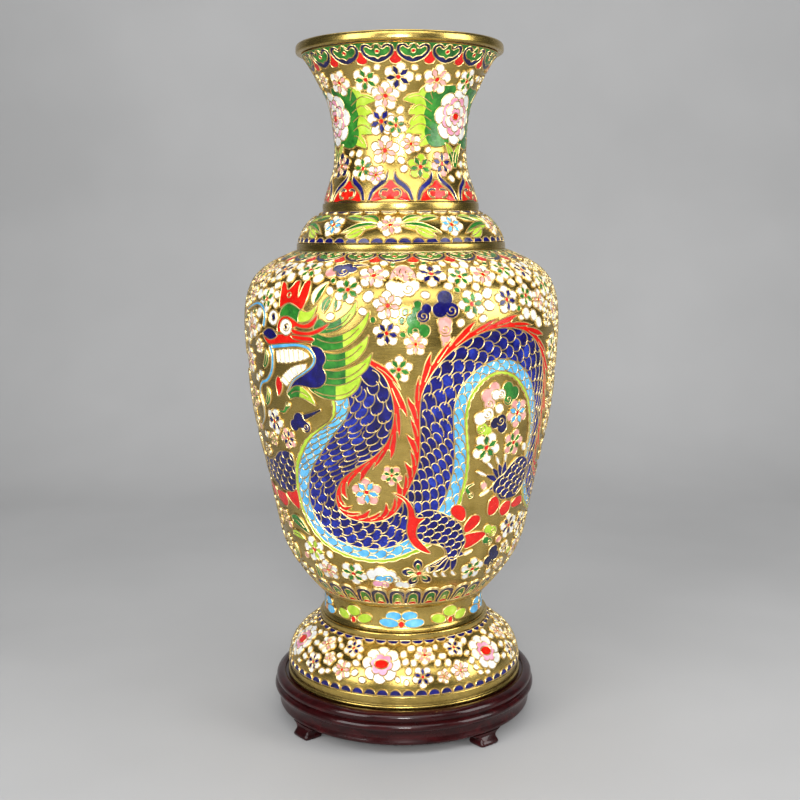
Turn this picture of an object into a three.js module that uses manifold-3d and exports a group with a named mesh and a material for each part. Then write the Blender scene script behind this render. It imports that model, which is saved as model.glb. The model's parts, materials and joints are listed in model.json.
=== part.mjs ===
// Cloisonne baluster vase on a round lacquered wooden stand.
// Millimetres, +Z up. The origin is on the vase's axis, in the plane that the stand's feet rest on.
import * as THREE from 'three';
import { mergeVertices } from 'three/addons/utils/BufferGeometryUtils.js';
import Module from 'manifold-3d';

// Driving dimensions
const VASE_HEIGHT = 380;
const WALL = 2;
const GAP = 0.3;
const TURNS = 40;

// Heights above the vase's own foot
const FOOT_RING_TOP = 8.1;
const STEM_RING_BOTTOM = 34.4;
const STEM_BOTTOM = 38.8;
const STEM_BEAD_BOTTOM = 53.5;
const BODY_BOTTOM = 57.8;
const BELLY_SEAM = 212;
const SHOULDER_RING_BOTTOM = 261.1;
const SHOULDER_BOTTOM = 265.9;
const NECK_RING_BOTTOM = 283.4;
const NECK_BOTTOM = 289;
const MOUTH_RIM_BOTTOM = 374.5;

// Radii of the vase's turned rings
const FOOT_RADIUS = 72.9;
const FOOT_BORE = 67;
const STEM_RING_RADIUS = 52.4;
const STEM_BORE = 46.6;
const SHOULDER_RING_RADIUS = 62.5;
const NECK_RING_RADIUS = 46.7;
const MOUTH_RADIUS = 61;
const MOUTH_BORE = 55.2;
const BASE_RECESS = 2.8;
const BASE_THICKNESS = 1.5;

// The stand, with heights above the surface that it stands on
const SEAT_HEIGHT = 26;
const SEAT_LIP = 1.4;
const SEAT_RADIUS = 74.6;
const PANEL_RADIUS = 69.7;
const PANEL_THICKNESS = 4;
const RIM_BOTTOM = 16.3;
const RIM_BORE = 62;
const BEAD_RADIUS = 81.3;
const APRON_BOTTOM = 7.5;
const APRON_BORE = 66;
const APRON_RADIUS = 78.4;
const FOOT_INNER = 68.5;
const FOOT_DEPTH = 12;
const FOOT_TOE_WIDTH = 13;
const FOOT_TOP_WIDTH = 24;
const FIRST_FOOT_ANGLE = -51;
const FOOT_COUNT = 4;
const DOWEL_RADIUS = 2.5;
const DOWEL_BOTTOM = 2.5;
const DOWEL_TOP = 13;
const DOWEL_CENTRE = 73;

const gilt = { color: 0xc9a75a, roughness: 0.3, metalness: 1 };
const lacquer = { color: 0x3a0c0d, roughness: 0.2, metalness: 0 };
const bareWood = { color: 0xb08a5a, roughness: 0.7, metalness: 0 };

const wasm = await Module();
wasm.setup();

const object = new THREE.Group();
const vase = new THREE.Group();
vase.position.z = SEAT_HEIGHT + GAP;
const stand = new THREE.Group();
object.add(vase, stand);

function addPiece(group, name, geometry, finish) {
  const mesh = new THREE.Mesh(geometry, new THREE.MeshStandardMaterial(finish));
  mesh.name = name;
  group.add(mesh);
  return mesh;
}

// A closed profile of [radius, height] pairs, anticlockwise as seen with the axis on the left, turned about Z.
function turned(profile) {
  const points = profile.map(([radius, height]) => new THREE.Vector2(radius, height));
  if (profile[0][0] > 0) points.push(points[0].clone());
  const geometry = new THREE.LatheGeometry(points, TURNS);
  return geometry.rotateX(Math.PI / 2);
}

// A raised sheet-metal section: a smooth outer line from bottom to top, with a wall of even thickness
// and flat ends where it is brazed to its neighbours.
function raisedShell(outline, steps) {
  const bottom = outline[0][1];
  const top = outline[outline.length - 1][1];
  const curve = new THREE.SplineCurve(outline.map(([radius, height]) => new THREE.Vector2(radius, height)));
  const outer = [];
  const inner = [];
  for (let i = 0; i <= steps; i += 1) {
    const point = curve.getPoint(i / steps);
    const tangent = curve.getTangent(i / steps);
    const atEnd = i === 0 || i === steps;
    const inward = atEnd ? new THREE.Vector2(-1, 0) : new THREE.Vector2(-tangent.y, tangent.x);
    const inside = point.clone().addScaledVector(inward, WALL);
    outer.push([point.x, point.y]);
    inner.push([inside.x, THREE.MathUtils.clamp(inside.y, bottom, top)]);
  }
  return turned([...outer, ...inner.reverse()]);
}

// A turned ring with a rounded outer face.
function roundedRing(bore, radius, bottom, top, bulge) {
  const height = top - bottom;
  return turned([
    [bore, bottom],
    [radius - bulge, bottom],
    [radius - 0.25 * bulge, bottom + 0.2 * height],
    [radius, bottom + 0.5 * height],
    [radius - 0.25 * bulge, bottom + 0.8 * height],
    [radius - bulge, top],
    [bore, top],
  ]);
}

// Booleans: a three.js geometry as a manifold solid, and back.
function solidOf(geometry) {
  const bare = geometry.clone();
  bare.deleteAttribute('normal');
  bare.deleteAttribute('uv');
  const merged = mergeVertices(bare, 1e-4);
  return new wasm.Manifold(new wasm.Mesh({
    numProp: 3,
    vertProperties: new Float32Array(merged.attributes.position.array),
    triVerts: new Uint32Array(merged.index.array),
  }));
}

function geometryOf(solid) {
  const mesh = solid.getMesh();
  const geometry = new THREE.BufferGeometry();
  geometry.setAttribute('position', new THREE.BufferAttribute(mesh.vertProperties, 3));
  geometry.setIndex(new THREE.BufferAttribute(mesh.triVerts, 1));
  return geometry;
}

function drilled(geometry, holes) {
  let solid = solidOf(geometry);
  for (const hole of holes) solid = solid.subtract(solidOf(hole));
  return geometryOf(solid);
}

// The vase, from the foot up
addPiece(vase, 'foot_ring', turned([
  [FOOT_BORE, 0],
  [FOOT_RADIUS - 0.5, 0],
  [FOOT_RADIUS, 0.6],
  [FOOT_RADIUS, 2.3],
  [FOOT_RADIUS - 0.8, 2.9],
  [FOOT_RADIUS - 1, FOOT_RING_TOP],
  [FOOT_BORE, FOOT_RING_TOP],
]), gilt);

addPiece(vase, 'base_plate', turned([
  [0, BASE_RECESS],
  [FOOT_BORE - GAP, BASE_RECESS],
  [FOOT_BORE - GAP, BASE_RECESS + BASE_THICKNESS],
  [0, BASE_RECESS + BASE_THICKNESS],
]), gilt);

addPiece(vase, 'foot_shell', raisedShell([
  [71.8, FOOT_RING_TOP + GAP],
  [71.2, 12.5],
  [69.8, 17],
  [67.3, 22],
  [63.2, 26],
  [57.8, 30],
  [52.1, STEM_RING_BOTTOM - GAP],
], 7), gilt);

addPiece(vase, 'stem_ring', roundedRing(
  STEM_BORE, STEM_RING_RADIUS, STEM_RING_BOTTOM, STEM_BOTTOM - GAP, 1.2), gilt);

addPiece(vase, 'stem_band', turned([
  [STEM_BORE, STEM_BOTTOM],
  [50.6, STEM_BOTTOM],
  [49.3, 40.4],
  [48.7, 43],
  [48.7, 50],
  [49.2, STEM_BEAD_BOTTOM - GAP],
  [STEM_BORE, STEM_BEAD_BOTTOM - GAP],
]), gilt);

addPiece(vase, 'stem_bead', turned([
  [STEM_BORE, STEM_BEAD_BOTTOM],
  [49.6, STEM_BEAD_BOTTOM],
  [51.3, 54.3],
  [52.6, 55.8],
  [53, BODY_BOTTOM - GAP],
  [STEM_BORE, BODY_BOTTOM - GAP],
]), gilt);

addPiece(vase, 'body_lower', raisedShell([
  [53.9, BODY_BOTTOM],
  [59.1, 64],
  [65.1, 72],
  [69.8, 80],
  [73.2, 88],
  [76.1, 100],
  [80, 120],
  [84.2, 140],
  [88.7, 160],
  [91.5, 180],
  [93, 200],
  [93.7, BELLY_SEAM - GAP],
], 10), gilt);

addPiece(vase, 'body_upper', raisedShell([
  [93.7, BELLY_SEAM],
  [93.8, 220],
  [93.2, 229],
  [91.6, 236.5],
  [88.4, 244],
  [83.2, 250],
  [76, 254.8],
  [69.2, 258],
  [62.6, SHOULDER_RING_BOTTOM - GAP],
], 8), gilt);

addPiece(vase, 'shoulder_ring', roundedRing(
  58.4, SHOULDER_RING_RADIUS, SHOULDER_RING_BOTTOM, SHOULDER_BOTTOM - GAP, 0.8), gilt);

addPiece(vase, 'shoulder_collar', raisedShell([
  [61.2, SHOULDER_BOTTOM],
  [60.3, 269],
  [58.6, 272.5],
  [56.2, 276],
  [52.9, 279.6],
  [46.9, NECK_RING_BOTTOM - GAP],
], 6), gilt);

addPiece(vase, 'neck_ring', roundedRing(
  43.2, NECK_RING_RADIUS, NECK_RING_BOTTOM, NECK_BOTTOM - GAP, 0.8), gilt);

addPiece(vase, 'neck_shell', raisedShell([
  [45.4, NECK_BOTTOM],
  [42.9, 297],
  [40.2, 305],
  [38.7, 313],
  [38.5, 319],
  [38.9, 329],
  [40.4, 341],
  [42.9, 349],
  [47, 357],
  [50.9, 365],
  [54.6, 371],
  [57.3, MOUTH_RIM_BOTTOM - GAP],
], 10), gilt);

addPiece(vase, 'mouth_rim', turned([
  [MOUTH_BORE, MOUTH_RIM_BOTTOM],
  [MOUTH_RADIUS - 1, MOUTH_RIM_BOTTOM],
  [MOUTH_RADIUS, MOUTH_RIM_BOTTOM + 1],
  [MOUTH_RADIUS, VASE_HEIGHT - 1],
  [MOUTH_RADIUS - 1, VASE_HEIGHT],
  [MOUTH_BORE, VASE_HEIGHT],
]), gilt);

// The stand, from the seat down
addPiece(stand, 'stand_panel', turned([
  [0, SEAT_HEIGHT - PANEL_THICKNESS],
  [PANEL_RADIUS, SEAT_HEIGHT - PANEL_THICKNESS],
  [PANEL_RADIUS, SEAT_HEIGHT],
  [0, SEAT_HEIGHT],
]), lacquer);

const rebateFloor = SEAT_HEIGHT - PANEL_THICKNESS - GAP;
addPiece(stand, 'stand_rim', turned([
  [RIM_BORE, RIM_BOTTOM],
  [BEAD_RADIUS - 1.8, RIM_BOTTOM],
  [BEAD_RADIUS - 0.4, RIM_BOTTOM + 1],
  [BEAD_RADIUS, RIM_BOTTOM + 2.4],
  [BEAD_RADIUS - 0.6, RIM_BOTTOM + 4],
  [BEAD_RADIUS - 2.2, RIM_BOTTOM + 5.1],
  [BEAD_RADIUS - 1.3, RIM_BOTTOM + 6.2],
  [BEAD_RADIUS - 1.1, RIM_BOTTOM + 7.9],
  [BEAD_RADIUS - 2, RIM_BOTTOM + 9.6],
  [BEAD_RADIUS - 4.4, SEAT_HEIGHT + SEAT_LIP],
  [SEAT_RADIUS + 0.6, SEAT_HEIGHT + SEAT_LIP],
  [SEAT_RADIUS, SEAT_HEIGHT],
  [PANEL_RADIUS + GAP, SEAT_HEIGHT],
  [PANEL_RADIUS + GAP, rebateFloor],
  [RIM_BORE, rebateFloor],
]), lacquer);

const footAngles = [];
for (let i = 0; i < FOOT_COUNT; i += 1) {
  footAngles.push(THREE.MathUtils.degToRad(FIRST_FOOT_ANGLE - 90 + (360 / FOOT_COUNT) * i));
}

// A vertical cylinder, placed where a foot's dowel stands.
function dowelAt(angle, radius, bottom, top) {
  const geometry = new THREE.CylinderGeometry(radius, radius, top - bottom, 16);
  geometry.rotateX(Math.PI / 2);
  return geometry.translate(
    DOWEL_CENTRE * Math.cos(angle), DOWEL_CENTRE * Math.sin(angle), (top + bottom) / 2);
}

const dowelHoles = footAngles.map(
  (angle) => dowelAt(angle, DOWEL_RADIUS + GAP, DOWEL_BOTTOM - GAP, DOWEL_TOP + GAP));

addPiece(stand, 'stand_apron', drilled(turned([
  [APRON_BORE, APRON_BOTTOM],
  [APRON_RADIUS - 0.6, APRON_BOTTOM],
  [APRON_RADIUS, APRON_BOTTOM + 1.2],
  [APRON_RADIUS - 0.9, RIM_BOTTOM - 4],
  [APRON_RADIUS - 0.4, RIM_BOTTOM - GAP],
  [APRON_BORE, RIM_BOTTOM - GAP],
]), dowelHoles), lacquer);

// A bracket foot: a small toe that spreads in an ogee to the width it is glued over.
function bracketFoot(angle) {
  const toe = FOOT_TOE_WIDTH / 2;
  const shoulder = FOOT_TOP_WIDTH / 2;
  const height = APRON_BOTTOM - GAP;
  const outline = new THREE.Shape();
  outline.moveTo(-toe, 0);
  outline.lineTo(toe, 0);
  outline.quadraticCurveTo(toe + 1.2, 0.3 * height, toe - 0.3, 0.5 * height);
  outline.quadraticCurveTo(toe + 0.2, 0.85 * height, shoulder, height);
  outline.lineTo(-shoulder, height);
  outline.quadraticCurveTo(-toe - 0.2, 0.85 * height, -toe + 0.3, 0.5 * height);
  outline.quadraticCurveTo(-toe - 1.2, 0.3 * height, -toe, 0);
  const geometry = new THREE.ExtrudeGeometry(outline, { depth: FOOT_DEPTH, bevelEnabled: false, curveSegments: 4 });
  geometry.rotateX(Math.PI / 2);
  geometry.translate(0, FOOT_INNER + FOOT_DEPTH, 0);
  return geometry.rotateZ(angle - Math.PI / 2);
}

footAngles.forEach((angle, i) => {
  const foot = drilled(bracketFoot(angle), [dowelHoles[i]]);
  addPiece(stand, `stand_foot_${i + 1}`, foot, lacquer);
  addPiece(stand, `foot_dowel_${i + 1}`, dowelAt(angle, DOWEL_RADIUS, DOWEL_BOTTOM, DOWEL_TOP), bareWood);
});

export default object;
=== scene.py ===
"""The looks of a cloisonne vase on a lacquered wooden stand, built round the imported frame.

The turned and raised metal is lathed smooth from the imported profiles. The ornament is drawn cell by
cell on the unrolled wall of each zone, in millimetres: every cell becomes a slab of enamel, and every
edge between two cells becomes a gilt wire. Lengths are in millimetres until a mesh is made.
"""
import json
import math
import random

import bpy
import numpy as np
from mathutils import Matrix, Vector
from mathutils.geometry import delaunay_2d_cdt

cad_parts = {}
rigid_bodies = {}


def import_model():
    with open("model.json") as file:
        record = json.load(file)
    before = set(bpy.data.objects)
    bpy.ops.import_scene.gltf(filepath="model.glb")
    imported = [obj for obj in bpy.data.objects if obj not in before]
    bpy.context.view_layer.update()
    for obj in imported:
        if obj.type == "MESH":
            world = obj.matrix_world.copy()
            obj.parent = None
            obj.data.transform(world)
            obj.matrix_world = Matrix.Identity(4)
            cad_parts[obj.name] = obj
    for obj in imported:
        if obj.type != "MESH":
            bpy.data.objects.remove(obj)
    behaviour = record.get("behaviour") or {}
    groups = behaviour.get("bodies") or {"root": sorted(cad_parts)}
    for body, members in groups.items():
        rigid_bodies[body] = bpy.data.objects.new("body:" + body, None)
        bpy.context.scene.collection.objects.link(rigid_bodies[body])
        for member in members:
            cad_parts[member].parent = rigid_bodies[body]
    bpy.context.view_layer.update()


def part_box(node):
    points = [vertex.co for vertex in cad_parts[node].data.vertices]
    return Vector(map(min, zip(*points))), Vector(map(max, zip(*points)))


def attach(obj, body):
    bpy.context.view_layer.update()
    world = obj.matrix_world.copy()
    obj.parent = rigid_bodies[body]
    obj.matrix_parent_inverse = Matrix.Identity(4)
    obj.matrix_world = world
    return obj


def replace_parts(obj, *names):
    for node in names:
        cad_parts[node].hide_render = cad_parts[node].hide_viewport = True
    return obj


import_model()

MM = 0.001
TURNS = 240

# Relief of the ornament above the gilt ground
ENAMEL_HEIGHT = 0.55
WIRE_HEIGHT = 0.78
WIRE_WIDTH = 0.78
SUNK = 0.08
SEAM = 0.3

# The camera, in metres and degrees, and the point of the object that it is set from: the rim's top
CAMERA_DISTANCE = 0.7108
CAMERA_BELOW_RIM = 0.1026
CAMERA_PITCH = 8.63
CAMERA_ROLL = 0.42
CAMERA_YAW = 0.1
CAMERA_LENS = 52.7


# ---------------------------------------------------------------- materials

def new_material(name):
    material = bpy.data.materials.new(name)
    material.use_nodes = True
    tree = material.node_tree
    return material, tree, tree.nodes["Principled BSDF"]


def node(tree, kind, **inputs):
    made = tree.nodes.new(kind)
    for key, value in inputs.items():
        made.inputs[key.replace("_", " ")].default_value = value
    return made


def noise(tree, coords, scale, detail=3.0, roughness=0.5):
    made = node(tree, "ShaderNodeTexNoise", Scale=scale, Detail=detail, Roughness=roughness)
    tree.links.new(coords, made.inputs["Vector"])
    return made.outputs["Fac"]


def ramp(tree, factor, stops):
    made = tree.nodes.new("ShaderNodeValToRGB")
    elements = made.color_ramp.elements
    while len(elements) < len(stops):
        elements.new(0.5)
    for element, (place, colour) in zip(elements, stops):
        element.position = place
        element.color = (*colour, 1.0) if len(colour) == 3 else colour
    tree.links.new(factor, made.inputs["Fac"])
    return made.outputs["Color"]


def bump(tree, height, strength, distance, normal=None):
    made = node(tree, "ShaderNodeBump", Strength=strength, Distance=distance)
    tree.links.new(height, made.inputs["Height"])
    if normal is not None:
        tree.links.new(normal, made.inputs["Normal"])
    return made.outputs["Normal"]


def stretched(tree, coords, scale):
    made = tree.nodes.new("ShaderNodeMapping")
    made.inputs["Scale"].default_value = scale
    tree.links.new(coords, made.inputs["Vector"])
    return made.outputs["Vector"]


def object_coords(tree):
    return tree.nodes.new("ShaderNodeTexCoord").outputs["Object"]


def gilt_material(name, colour, dark, roughness, brushed):
    """Gilt metal: turning marks run round the axis, so the grain is fine along Z and long across."""
    material, tree, shader = new_material(name)
    coords = object_coords(tree)
    tarnish = noise(tree, coords, 55.0, 5.0, 0.6)
    colours = ramp(tree, tarnish, [(0.3, dark), (0.62, colour)])
    tree.links.new(colours, shader.inputs["Base Color"])
    shader.inputs["Metallic"].default_value = 1.0
    fine = noise(tree, stretched(tree, coords, (brushed * 0.06, brushed * 0.06, brushed)), 12.0, 4.0, 0.65)
    rough = ramp(tree, fine, [(0.25, (roughness * 0.8,) * 3), (0.75, (roughness * 1.3,) * 3)])
    tree.links.new(rough, shader.inputs["Roughness"])
    grain = noise(tree, coords, 700.0, 3.0, 0.6)
    normal = bump(tree, fine, 0.1, 0.0001)
    tree.links.new(bump(tree, grain, 0.3, 0.00012, normal), shader.inputs["Normal"])
    return material


def enamel_material(name, colour, deep, pale):
    """Fired enamel: pooled deeper and paler in patches, finely pitted, stoned to a soft gloss."""
    material, tree, shader = new_material(name)
    coords = object_coords(tree)
    pools = noise(tree, coords, 150.0, 3.0, 0.6)
    colours = ramp(tree, pools, [(0.3, deep), (0.5, colour), (0.72, pale)])
    tree.links.new(colours, shader.inputs["Base Color"])
    wear = noise(tree, coords, 420.0, 2.0, 0.5)
    rough = ramp(tree, wear, [(0.35, (0.14,) * 3), (0.7, (0.3,) * 3)])
    tree.links.new(rough, shader.inputs["Roughness"])
    shader.inputs["IOR"].default_value = 1.52
    shader.inputs["Specular IOR Level"].default_value = 0.35
    shader.inputs["Coat Weight"].default_value = 0.08
    shader.inputs["Coat Roughness"].default_value = 0.08
    grain = noise(tree, coords, 900.0, 2.0, 0.6)
    waves = noise(tree, coords, 260.0, 2.0, 0.5)
    normal = bump(tree, waves, 0.25, 0.0006)
    tree.links.new(bump(tree, grain, 0.12, 0.0002, normal), shader.inputs["Normal"])
    return material


def lacquer_material():
    """Dark red-brown lacquer over a turned wood whose grain shows faintly."""
    material, tree, shader = new_material("lacquered_wood")
    coords = object_coords(tree)
    grain = noise(tree, stretched(tree, coords, (12.0, 60.0, 60.0)), 4.0, 5.0, 0.6)
    colours = ramp(tree, grain, [(0.3, (0.01, 0.0008, 0.001)), (0.55, (0.026, 0.002, 0.0025)), (0.75, (0.05, 0.004, 0.005))])
    tree.links.new(colours, shader.inputs["Base Color"])
    smears = noise(tree, coords, 45.0, 4.0, 0.6)
    rough = ramp(tree, smears, [(0.3, (0.16,) * 3), (0.75, (0.34,) * 3)])
    tree.links.new(rough, shader.inputs["Roughness"])
    shader.inputs["Specular IOR Level"].default_value = 0.2
    shader.inputs["Coat Weight"].default_value = 0.22
    shader.inputs["Coat Roughness"].default_value = 0.05
    tree.links.new(bump(tree, grain, 0.08, 0.0003), shader.inputs["Normal"])
    return material


def bare_wood_material():
    material, tree, shader = new_material("bare_wood")
    grain = noise(tree, stretched(tree, object_coords(tree), (300.0, 300.0, 20.0)), 2.0, 4.0, 0.6)
    colours = ramp(tree, grain, [(0.3, (0.35, 0.22, 0.11)), (0.7, (0.6, 0.44, 0.26))])
    tree.links.new(colours, shader.inputs["Base Color"])
    shader.inputs["Roughness"].default_value = 0.7
    tree.links.new(bump(tree, grain, 0.3, 0.0002), shader.inputs["Normal"])
    return material


GILT = gilt_material("gilt_metal", (0.6, 0.43, 0.12), (0.36, 0.25, 0.055), 0.24, 260.0)
GILT_WIRE = gilt_material("gilt_wire", (0.86, 0.67, 0.31), (0.7, 0.5, 0.2), 0.32, 90.0)
LACQUER = lacquer_material()
BARE_WOOD = bare_wood_material()
ENAMELS = {
    "white": enamel_material("enamel_white", (0.8, 0.8, 0.77), (0.66, 0.66, 0.63), (0.88, 0.88, 0.86)),
    "pink": enamel_material("enamel_pink", (0.82, 0.36, 0.5), (0.7, 0.24, 0.36), (0.9, 0.55, 0.66)),
    "salmon": enamel_material("enamel_salmon", (0.76, 0.36, 0.32), (0.6, 0.22, 0.2), (0.84, 0.5, 0.44)),
    "red": enamel_material("enamel_red", (0.66, 0.009, 0.003), (0.5, 0.005, 0.002), (0.76, 0.024, 0.008)),
    "navy": enamel_material("enamel_navy", (0.005, 0.004, 0.1), (0.003, 0.002, 0.035), (0.008, 0.01, 0.2)),
    "cobalt": enamel_material("enamel_cobalt", (0.008, 0.014, 0.22), (0.005, 0.006, 0.09), (0.02, 0.05, 0.42)),
    "sky": enamel_material("enamel_light_blue", (0.1, 0.42, 0.74), (0.06, 0.3, 0.58), (0.2, 0.56, 0.84)),
    "green": enamel_material("enamel_green", (0.022, 0.17, 0.02), (0.01, 0.085, 0.012), (0.05, 0.27, 0.03)),
    "lime": enamel_material("enamel_lime", (0.42, 0.6, 0.04), (0.28, 0.46, 0.02), (0.56, 0.74, 0.1)),
    "black": enamel_material("enamel_black", (0.008, 0.007, 0.05), (0.004, 0.003, 0.018), (0.016, 0.018, 0.12)),
    "lining": enamel_material("enamel_lining", (0.05, 0.32, 0.5), (0.03, 0.22, 0.4), (0.1, 0.42, 0.6)),
}


# ---------------------------------------------------------------- meshes

def make_object(name, points, quads, triangles, material, sharp=35.0):
    """A mesh object from arrays of points in millimetres, quads and triangles."""
    mesh = bpy.data.meshes.new(name)
    quads = np.asarray(quads, dtype=np.int32).reshape(-1, 4)
    triangles = np.asarray(triangles, dtype=np.int32).reshape(-1, 3)
    loops = np.concatenate([quads.ravel(), triangles.ravel()])
    starts = np.concatenate([
        np.arange(len(quads)) * 4,
        len(quads) * 4 + np.arange(len(triangles)) * 3,
    ])
    mesh.vertices.add(len(points))
    mesh.vertices.foreach_set("co", (np.asarray(points) * MM).astype(np.float32).ravel())
    mesh.loops.add(len(loops))
    mesh.loops.foreach_set("vertex_index", loops)
    mesh.polygons.add(len(starts))
    mesh.polygons.foreach_set("loop_start", starts.astype(np.int32))
    mesh.update(calc_edges=True)
    mesh.validate()
    mesh.polygons.foreach_set("use_smooth", np.ones(len(mesh.polygons), dtype=bool))
    mesh.set_sharp_from_angle(angle=math.radians(sharp))
    mesh.materials.append(material)
    made = bpy.data.objects.new(name, mesh)
    bpy.context.collection.objects.link(made)
    return made


def lathe(name, loop, material, body, sharp=35.0, turns=TURNS):
    """A closed loop of (radius, height) points turned about the axis; a loop may touch the axis."""
    loop = np.asarray(loop, dtype=float)
    angles = np.arange(turns) * 2 * math.pi / turns
    count = len(loop)
    rings = np.stack([
        np.outer(np.cos(angles), loop[:, 0]),
        np.outer(np.sin(angles), loop[:, 0]),
        np.tile(loop[:, 1], (turns, 1)),
    ], axis=-1)
    here = np.arange(turns)[:, None] * count + np.arange(count)[None, :]
    there = np.roll(here, -1, axis=0)
    quads = np.stack([here, there, np.roll(there, -1, axis=1), np.roll(here, -1, axis=1)], axis=-1)
    quads = quads.reshape(-1, 4)
    made = make_object(name, rings.reshape(-1, 3), quads, [], material, sharp)
    if loop[:, 0].min() < 1e-6:
        weld(made)
    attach(made, body)
    return made


def weld(made):
    """Joins the points that a loop touching the axis leaves stacked there."""
    import bmesh
    work = bmesh.new()
    work.from_mesh(made.data)
    bmesh.ops.remove_doubles(work, verts=work.verts, dist=1e-7)
    bmesh.ops.dissolve_degenerate(work, dist=1e-7, edges=work.edges)
    work.to_mesh(made.data)
    work.free()


def node_size(name):
    """A node's outer radius, bottom and top, in millimetres."""
    low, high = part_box(name)
    return high[0] / MM, low[2] / MM, high[2] / MM


def profile_of(name):
    """The outer and inner lines of a packed shell's wall, from its bottom edge to its top edge, as
    (radius, height) points in millimetres, read from the mesh where it crosses the +X half plane."""
    mesh = bpy.data.objects[name].data
    points = np.empty(len(mesh.vertices) * 3)
    mesh.vertices.foreach_get("co", points)
    points = points.reshape(-1, 3) / MM
    on_plane = (np.abs(points[:, 1]) < 0.01) & (points[:, 0] > 0)
    key = {}
    place = {}
    for index in np.nonzero(on_plane)[0]:
        spot = (round(points[index, 0], 2), round(points[index, 2], 2))
        key[int(index)] = spot
        place[spot] = (points[index, 0], points[index, 2])
    near = {spot: set() for spot in place}
    for edge in mesh.edges:
        a, b = edge.vertices
        if a in key and b in key and key[a] != key[b]:
            near[key[a]].add(key[b])
            near[key[b]].add(key[a])
    bottom = min(spot[1] for spot in place)
    top = max(spot[1] for spot in place)
    start = max(spot for spot in place if spot[1] < bottom + 0.05)
    floor = min(spot for spot in place if spot[1] < bottom + 0.05)

    def walk(first, barred):
        line = [first]
        seen = {first, barred}
        while line[-1][1] < top - 0.05:
            onward = [spot for spot in near[line[-1]] if spot not in seen]
            line.append(onward[0])
            seen.add(onward[0])
        return [place[spot] for spot in line]

    return np.array(walk(start, floor)), np.array(walk(floor, start))


def catmull(points, closed=False, step=None, per=8):
    """A smooth curve through the points: a fixed number of samples a span, or one about every step."""
    points = np.asarray(points, dtype=float)
    if closed:
        padded = np.vstack([points[-1], points, points[0], points[1]])
    else:
        padded = np.vstack([2 * points[0] - points[1], points, 2 * points[-1] - points[-2]])
    samples = []
    for i in range(len(padded) - 3):
        before, a, b, after = padded[i:i + 4]
        span = np.linalg.norm(b - a)
        count = per if step is None else max(1, int(round(span / step)))
        t = (np.arange(count) / count)[:, None]
        samples.append(0.5 * (
            2 * a + (b - before) * t + (2 * before - 5 * a + 4 * b - after) * t ** 2
            + (3 * a - before - 3 * b + after) * t ** 3))
    if not closed:
        samples.append(points[-1:])
    return np.vstack(samples)


def spaced(line, fractions):
    """The points at the given fractions of a line's length."""
    steps = np.linalg.norm(np.diff(line, axis=0), axis=1)
    length = np.concatenate([[0], np.cumsum(steps)])
    return np.stack([np.interp(fractions, length / length[-1], line[:, k]) for k in (0, 1)], axis=1)


# ---------------------------------------------------------------- shapes, in millimetres

def ring_points(radius_x, radius_y=None, count=16, start=0.0):
    radius_y = radius_x if radius_y is None else radius_y
    angles = start + np.arange(count) * 2 * math.pi / count
    return np.stack([radius_x * np.cos(angles), radius_y * np.sin(angles)], axis=1)


def petal(base, tip, width, count=7):
    """A petal that points up: narrow at its base, widest near its rounded tip."""
    t = np.linspace(0, 1, count)
    half = 0.5 * width * np.sin(math.pi * t ** 1.35) ** 0.62
    half[0] = 0.12 * width
    half[-1] = 0.0
    y = base + (tip - base) * t
    right = np.stack([half, y], axis=1)
    left = np.stack([-half[:-1], y[:-1]], axis=1)[::-1]
    return catmull(np.vstack([right, left]), closed=True, step=max(0.8, width / 7))


def kite(base, tip, width):
    """A pointed heart-petal that points up."""
    middle = base + 0.55 * (tip - base)
    return np.array([(0.12 * width, base), (0.5 * width, middle), (0, tip), (-0.5 * width, middle), (-0.12 * width, base)])


def turned_by(points, degrees):
    c, s = math.cos(math.radians(degrees)), math.sin(math.radians(degrees))
    points = np.asarray(points, dtype=float)
    return np.stack([c * points[:, 0] - s * points[:, 1], s * points[:, 0] + c * points[:, 1]], axis=1)


def ribbon(line, width_start, width_end=None):
    """The outline of a band along a line: its width runs evenly from one end to the other."""
    line = np.asarray(line, dtype=float)
    width_end = width_start if width_end is None else width_end
    normal = normals_of(line)
    half = 0.5 * np.linspace(width_start, width_end, len(line))[:, None]
    return np.vstack([line + normal * half, (line - normal * half)[::-1]])


def normals_of(line):
    """Unit normals of a line, pointing to its left."""
    tangent = np.gradient(line, axis=0)
    tangent /= np.maximum(np.linalg.norm(tangent, axis=1, keepdims=True), 1e-9)
    return np.stack([-tangent[:, 1], tangent[:, 0]], axis=1)


def spiral(radius, turns, start=0.0, hand=1):
    """A spiral line from the rim to the centre."""
    count = max(8, int(14 * turns))
    t = np.linspace(0, 1, count)
    angles = math.radians(start) + hand * t * turns * 2 * math.pi
    reach = radius * (1 - 0.85 * t)
    return np.stack([reach * np.cos(angles), reach * np.sin(angles)], axis=1)


# ---------------------------------------------------------------- the unrolled wall

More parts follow.
